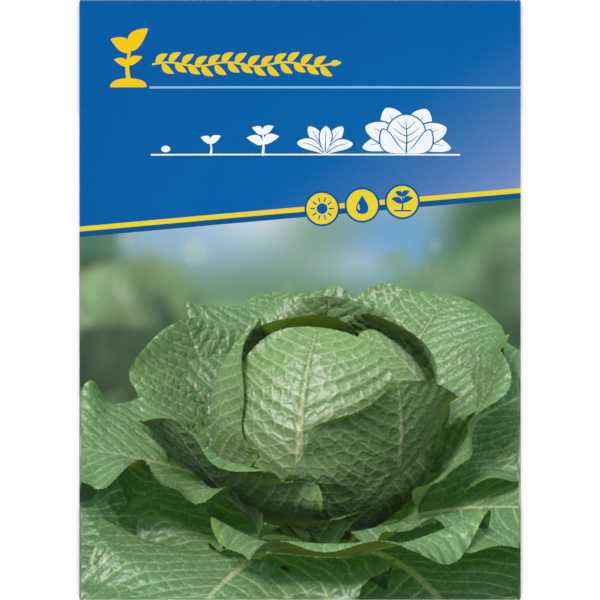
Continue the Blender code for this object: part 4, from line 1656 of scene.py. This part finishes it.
    # the paper's cut edge goes in a strip of its own
    run = np.arange(n + 1) / n
    strip = np.zeros((n, 4, 2))
    strip[:, 0] = np.stack([run[1:], np.zeros(n)], 1)
    strip[:, 1] = np.stack([run[:-1], np.zeros(n)], 1)
    strip[:, 2] = np.stack([run[:-1], np.ones(n)], 1)
    strip[:, 3] = np.stack([run[1:], np.ones(n)], 1)
    strip = np.array([0.83, 0.010]) + strip * np.array([0.16, 0.01])
    k = len(tris) + len(tris_in)
    uv[k : k + n] = strip[:, [0, 1, 2]]
    uv[k + n :] = strip[:, [0, 2, 3]]
    layer = mesh.uv_layers.new(name="OFBake")
    layer.data.foreach_set("uv", uv.ravel())
    join_close_points(mesh, 0.002 / 1000.0)
    obj = bpy.data.objects.new("packet_paper", mesh)
    bpy.context.scene.collection.objects.link(obj)
    return obj


# -------------------------------------------------------------------- materials
class Graph:
    """Short-hand for a material's nodes."""

    def __init__(self, name):
        self.mat = bpy.data.materials.new(name)
        self.mat.use_nodes = True
        self.tree = self.mat.node_tree
        self.shader = self.tree.nodes["Principled BSDF"]
        self.coords = self.tree.nodes.new("ShaderNodeTexCoord").outputs["Object"]

    def link(self, a, b):
        self.tree.links.new(a, b)

    def put(self, socket, value):
        if isinstance(value, bpy.types.NodeSocket):
            self.link(value, socket)
        elif value is not None:
            socket.default_value = value

    def attribute(self, name, output="Color"):
        node = self.tree.nodes.new("ShaderNodeAttribute")
        node.attribute_name = name
        return node.outputs[output]

    def mapped(self, scale, rotate=(0, 0, 0)):
        node = self.tree.nodes.new("ShaderNodeMapping")
        node.inputs["Scale"].default_value = scale
        node.inputs["Rotation"].default_value = rotate
        self.link(self.coords, node.inputs["Vector"])
        return node.outputs["Vector"]

    def noise(self, scale, detail=3.0, rough=0.5, vector=None, distortion=0.0):
        node = self.tree.nodes.new("ShaderNodeTexNoise")
        node.inputs["Scale"].default_value = scale
        node.inputs["Detail"].default_value = detail
        node.inputs["Roughness"].default_value = rough
        node.inputs["Distortion"].default_value = distortion
        self.link(vector or self.coords, node.inputs["Vector"])
        return node.outputs["Fac"]

    def cells(self, scale, feature="F1", vector=None):
        node = self.tree.nodes.new("ShaderNodeTexVoronoi")
        node.feature = feature
        node.inputs["Scale"].default_value = scale
        self.link(vector or self.coords, node.inputs["Vector"])
        return node.outputs["Distance"]

    def fit(self, value, lo, hi, out_lo=0.0, out_hi=1.0, smooth_=True):
        node = self.tree.nodes.new("ShaderNodeMapRange")
        node.interpolation_type = "SMOOTHSTEP" if smooth_ else "LINEAR"
        self.link(value, node.inputs["Value"])
        for name, v in (("From Min", lo), ("From Max", hi), ("To Min", out_lo), ("To Max", out_hi)):
            node.inputs[name].default_value = v
        return node.outputs["Result"]

    def math(self, how, a, b=None, c=None):
        node = self.tree.nodes.new("ShaderNodeMath")
        node.operation = how
        for socket, value in zip(node.inputs, (a, b, c)):
            self.put(socket, value)
        return node.outputs["Value"]

    def blend(self, how, fac, a, b):
        node = self.tree.nodes.new("ShaderNodeMix")
        node.data_type = "RGBA"
        node.blend_type = how
        node.clamp_result = how == "OVERLAY"
        sockets = {s.identifier: s for s in node.inputs}
        self.put(sockets["Factor_Float"], fac)
        for key, value in (("A_Color", a), ("B_Color", b)):
            if not isinstance(value, bpy.types.NodeSocket):
                value = (*[float(v) for v in value][:3], 1.0)
            self.put(sockets[key], value)
        return next(s for s in node.outputs if s.identifier == "Result_Color")

    def scaled(self, colour, factor):
        """Colour times a value."""
        grey = self.tree.nodes.new("ShaderNodeCombineColor")
        for name in ("Red", "Green", "Blue"):
            self.link(factor, grey.inputs[name])
        return self.blend("MULTIPLY", 1.0, colour, grey.outputs["Color"])

    def bump(self, height, strength, distance, normal=None):
        node = self.tree.nodes.new("ShaderNodeBump")
        node.inputs["Strength"].default_value = strength
        node.inputs["Distance"].default_value = distance
        self.link(height, node.inputs["Height"])
        if normal is not None:
            self.link(normal, node.inputs["Normal"])
        return node.outputs["Normal"]

    def set(self, **values):
        names = dict(
            colour="Base Color", rough="Roughness", metal="Metallic", normal="Normal",
            specular="Specular IOR Level", coat="Coat Weight", coat_rough="Coat Roughness",
            sheen="Sheen Weight", ior="IOR", glow="Emission Strength",
        )
        for key, value in values.items():
            if key == "colour" and not isinstance(value, bpy.types.NodeSocket):
                value = (*[float(v) for v in value][:3], 1.0)
            self.put(self.shader.inputs[names[key]], value)
        return self.mat


PRINT_GAIN = 0.86  # print colours to paint, under the studio's light


def printed_material():
    g = Graph("coated_print")
    ink = g.attribute("ink")
    grain = g.noise(3200, 2, 0.6)
    cloud = g.noise(70, 3, 0.5)
    speck = g.noise(900, 3, 0.6)
    value = g.math(
        "ADD",
        g.fit(grain, 0.25, 0.75, -0.030, 0.030, False),
        g.math(
            "ADD",
            g.fit(cloud, 0.3, 0.7, PRINT_GAIN - 0.008, PRINT_GAIN + 0.008, False),
            g.fit(speck, 0.3, 0.7, -0.012, 0.012, False),
        ),
    )
    colour = g.scaled(ink, value)
    # the ink cracks along the folds and shows the paper
    worn = g.math(
        "MULTIPLY",
        g.attribute("wear", "Fac"),
        g.fit(g.noise(1300, 4, 0.7), 0.54, 0.68),
    )
    worn = g.math("MULTIPLY", worn, 0.20)
    colour = g.blend("MIX", worn, colour, rgb(226, 226, 220))
    fibre = g.noise(1.0, 4, 0.65, g.mapped((900, 2100, 900), (0, 0, 0.4)))
    wave = g.noise(150, 3, 0.5)
    normal = g.bump(wave, 0.10, 0.0006)
    normal = g.bump(fibre, 0.16, 0.00004, normal)
    rough = g.math(
        "ADD", g.fit(fibre, 0.3, 0.7, 0.28, 0.34, False), g.math("MULTIPLY", worn, 0.25)
    )
    return g.set(colour=colour, rough=rough, normal=normal, specular=0.20)


def uncoated_material():
    g = Graph("uncoated_paper")
    fibre = g.noise(1.0, 5, 0.7, g.mapped((700, 2600, 700), (0, 0, 0.9)))
    cloud = g.noise(120, 3, 0.5)
    colour = g.blend("MIX", g.fit(fibre, 0.3, 0.75), rgb(214, 212, 204), rgb(236, 235, 229))
    colour = g.blend("MIX", g.fit(cloud, 0.35, 0.7, 0.0, 0.25), colour, rgb(206, 208, 206))
    normal = g.bump(fibre, 0.30, 0.00006)
    return g.set(colour=colour, rough=0.82, normal=normal, specular=0.3)


def foil_material(name, tint, seal):
    """Laminated foil: crinkled, with a pressed grid where the rim is sealed."""
    g = Graph(name)
    crinkle = g.cells(260, "F1", g.mapped((1, 0.7, 1), (0, 0, 0.5)))
    fold = g.cells(90, "DISTANCE_TO_EDGE", g.mapped((1.3, 1, 1), (0, 0, 1.1)))
    fine = g.noise(1500, 3, 0.6)
    height = g.math(
        "ADD",
        g.math("MULTIPLY", crinkle, 0.7),
        g.math("ADD", g.fit(fold, 0.0, 0.18, 0, 0.8), g.math("MULTIPLY", fine, 0.12)),
    )
    normal = g.bump(height, 0.5, 0.0004)
    # ribs of the seal, only on the rim
    apart = g.tree.nodes.new("ShaderNodeSeparateXYZ")
    g.link(g.coords, apart.inputs["Vector"])
    x = g.math("ABSOLUTE", apart.outputs["X"])
    y = g.math("ABSOLUTE", apart.outputs["Y"])
    rim = g.math("MAXIMUM", g.fit(x, 0.0236, 0.0244), g.fit(y, 0.0356, 0.0364))
    lines = g.math("SINE", g.math("MULTIPLY", g.math("ADD", apart.outputs["X"], apart.outputs["Y"]), 5200.0))
    cross = g.math("SINE", g.math("MULTIPLY", g.math("SUBTRACT", apart.outputs["X"], apart.outputs["Y"]), 5200.0))
    press = g.math("MULTIPLY", g.math("ADD", lines, cross), rim)
    normal = g.bump(press, seal, 0.00008, normal)
    stain = g.noise(45, 4, 0.6)
    colour = g.blend("MIX", g.fit(stain, 0.35, 0.7), tint, np.asarray(tint) * 0.82)
    rough = g.fit(g.noise(300, 3, 0.6), 0.3, 0.7, 0.24, 0.40, False)
    return g.set(colour=colour, rough=rough, metal=1.0, normal=normal)


def glue_material():
    """Dried white adhesive: milky, with bubbles and a slight drag."""
    g = Graph("dried_adhesive")
    drag = g.noise(1.0, 4, 0.6, g.mapped((260, 1500, 260)))
    bubble = g.cells(1300, "F1")
    spot = g.fit(bubble, 0.10, 0.24, 1.0, 0.0)
    colour = g.blend("MIX", g.fit(drag, 0.3, 0.7), (0.80, 0.76, 0.63), (0.90, 0.87, 0.77))
    colour = g.blend("MIX", g.math("MULTIPLY", spot, 0.5), colour, (0.66, 0.61, 0.47))
    normal = g.bump(drag, 0.4, 0.00005)
    normal = g.bump(spot, 0.5, 0.00004, normal)
    rough = g.fit(drag, 0.3, 0.7, 0.26, 0.40, False)
    return g.set(colour=colour, rough=rough, normal=normal, specular=0.5)


def seed_material():
    """Husk of a large seed: tan, streaked and freckled with dark brown."""
    g = Graph("seed_husk")
    info = g.tree.nodes.new("ShaderNodeObjectInfo").outputs["Random"]
    streak = g.noise(1.0, 4, 0.6, g.mapped((420, 3800, 420)))
    mottle = g.noise(900, 4, 0.65)
    freckle = g.cells(2300, "F1")
    colour = g.blend("MIX", g.fit(mottle, 0.35, 0.65), rgb(150, 118, 84), rgb(112, 82, 54))
    colour = g.blend("MIX", g.math("MULTIPLY", g.fit(streak, 0.52, 0.64), 0.75), colour, rgb(58, 40, 26))
    colour = g.blend("MIX", g.math("MULTIPLY", g.fit(freckle, 0.08, 0.2, 1, 0), 0.6), colour, rgb(48, 34, 24))
    colour = g.scaled(colour, g.fit(info, 0, 1, 0.86, 1.12, False))
    normal = g.bump(streak, 0.4, 0.00012)
    normal = g.bump(mottle, 0.35, 0.0001, normal)
    rough = g.fit(mottle, 0.3, 0.7, 0.44, 0.60, False)
    return g.set(colour=colour, rough=rough, normal=normal, specular=0.4)


def floor_material():
    g = Graph("studio_floor")
    cloud = g.noise(9, 3, 0.5)
    colour = g.blend("MIX", g.fit(cloud, 0.3, 0.7), (0.90, 0.90, 0.90), (0.93, 0.93, 0.93))
    return g.set(colour=colour, rough=0.9, specular=0.1, glow=0.10)


# ------------------------------------------------------------------------ scene
def new_mesh_object(name, mesh):
    obj = bpy.data.objects.new(name, mesh)
    bpy.context.scene.collection.objects.link(obj)
    return obj


def add_floor():
    mesh = bpy.data.meshes.new("floor")
    e, z = 1.6, -0.00004
    mesh.from_pydata([(-e, -e, z), (e, -e, z), (e, e, z), (-e, e, z)], [], [(0, 1, 2, 3)])
    floor = new_mesh_object("floor", mesh)
    mesh.materials.append(floor_material())


def add_light(name, azimuth, elevation, distance, size, power, colour=(1, 1, 1)):
    az, el = math.radians(azimuth), math.radians(elevation)
    place = Vector(
        (
            distance * math.cos(el) * math.sin(az),
            -distance * math.cos(el) * math.cos(az),
            distance * math.sin(el),
        )
    )
    lamp = bpy.data.lights.new(name, "AREA")
    lamp.shape = "DISK"
    lamp.size = size
    lamp.energy = power
    lamp.color = colour
    obj = bpy.data.objects.new(name, lamp)
    bpy.context.scene.collection.objects.link(obj)
    obj.location = place
    obj.rotation_euler = (-place).to_track_quat("-Z", "Y").to_euler()


def add_studio():
    scene = bpy.context.scene
    scene.view_settings.view_transform = "Standard"
    scene.view_settings.look = "None"
    scene.view_settings.exposure = 0.0
    scene.view_settings.gamma = 1.0
    world = bpy.data.worlds.new("studio")
    scene.world = world
    world.use_nodes = True
    # the studio's walls are bright and its ceiling is dim, so that flat
    # surfaces facing up keep their full colour
    tree = world.node_tree
    back = tree.nodes["Background"]
    way = tree.nodes.new("ShaderNodeTexCoord")
    part = tree.nodes.new("ShaderNodeSeparateXYZ")
    tree.links.new(way.outputs["Generated"], part.inputs["Vector"])
    ramp = tree.nodes.new("ShaderNodeMapRange")
    ramp.interpolation_type = "SMOOTHSTEP"
    tree.links.new(part.outputs["Z"], ramp.inputs["Value"])
    for name, value in (("From Min", 0.50), ("From Max", 0.92), ("To Min", 0.62), ("To Max", 0.03)):
        ramp.inputs[name].default_value = value
    tree.links.new(ramp.outputs["Result"], back.inputs["Strength"])
    back.inputs["Color"].default_value = (1.0, 1.0, 1.0, 1.0)
    add_light("key", -38, 42, 1.5, 0.9, 9.6)
    add_light("fill", 48, 40, 1.6, 0.9, 7.8)
    add_light("back_left", -140, 42, 1.6, 0.9, 7.4)
    add_light("back_right", 140, 42, 1.6, 0.9, 7.4)


def add_camera():
    scene = bpy.context.scene
    data = bpy.data.cameras.new("camera")
    data.lens = 250.0
    data.sensor_width = 36.0
    data.sensor_fit = "AUTO"
    data.clip_start = 0.01
    data.dof.use_dof = False
    camera = bpy.data.objects.new("camera", data)
    scene.collection.objects.link(camera)
    camera.location = (0.0, 0.0, 0.1600 * 250.0 / 36.0 + 0.0007)
    camera.rotation_euler = (0.0, 0.0, 0.0)
    scene.camera = camera


def main():
    add_floor()
    add_studio()
    add_camera()
    picture = Picture()
    sheet = build_sheet(picture)
    sheet.data.materials.append(printed_material())
    sheet.data.materials.append(uncoated_material())
    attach(sheet, "root")
    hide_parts("packet_sheet")

    glue, husk = glue_material(), seed_material()
    films = {
        "sachet_front_film": foil_material("foil_outer", (0.80, 0.81, 0.83), 0.7),
        "sachet_back_film": foil_material("foil_inner", (0.76, 0.76, 0.77), 0.7),
    }
    for name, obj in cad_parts.items():
        if name.endswith("_glue"):
            mat = glue
        elif name.startswith("seed_"):
            mat = husk
        elif name in films:
            mat = films[name]
        else:
            continue
        for slot in obj.material_slots:
            slot.material = mat


main()
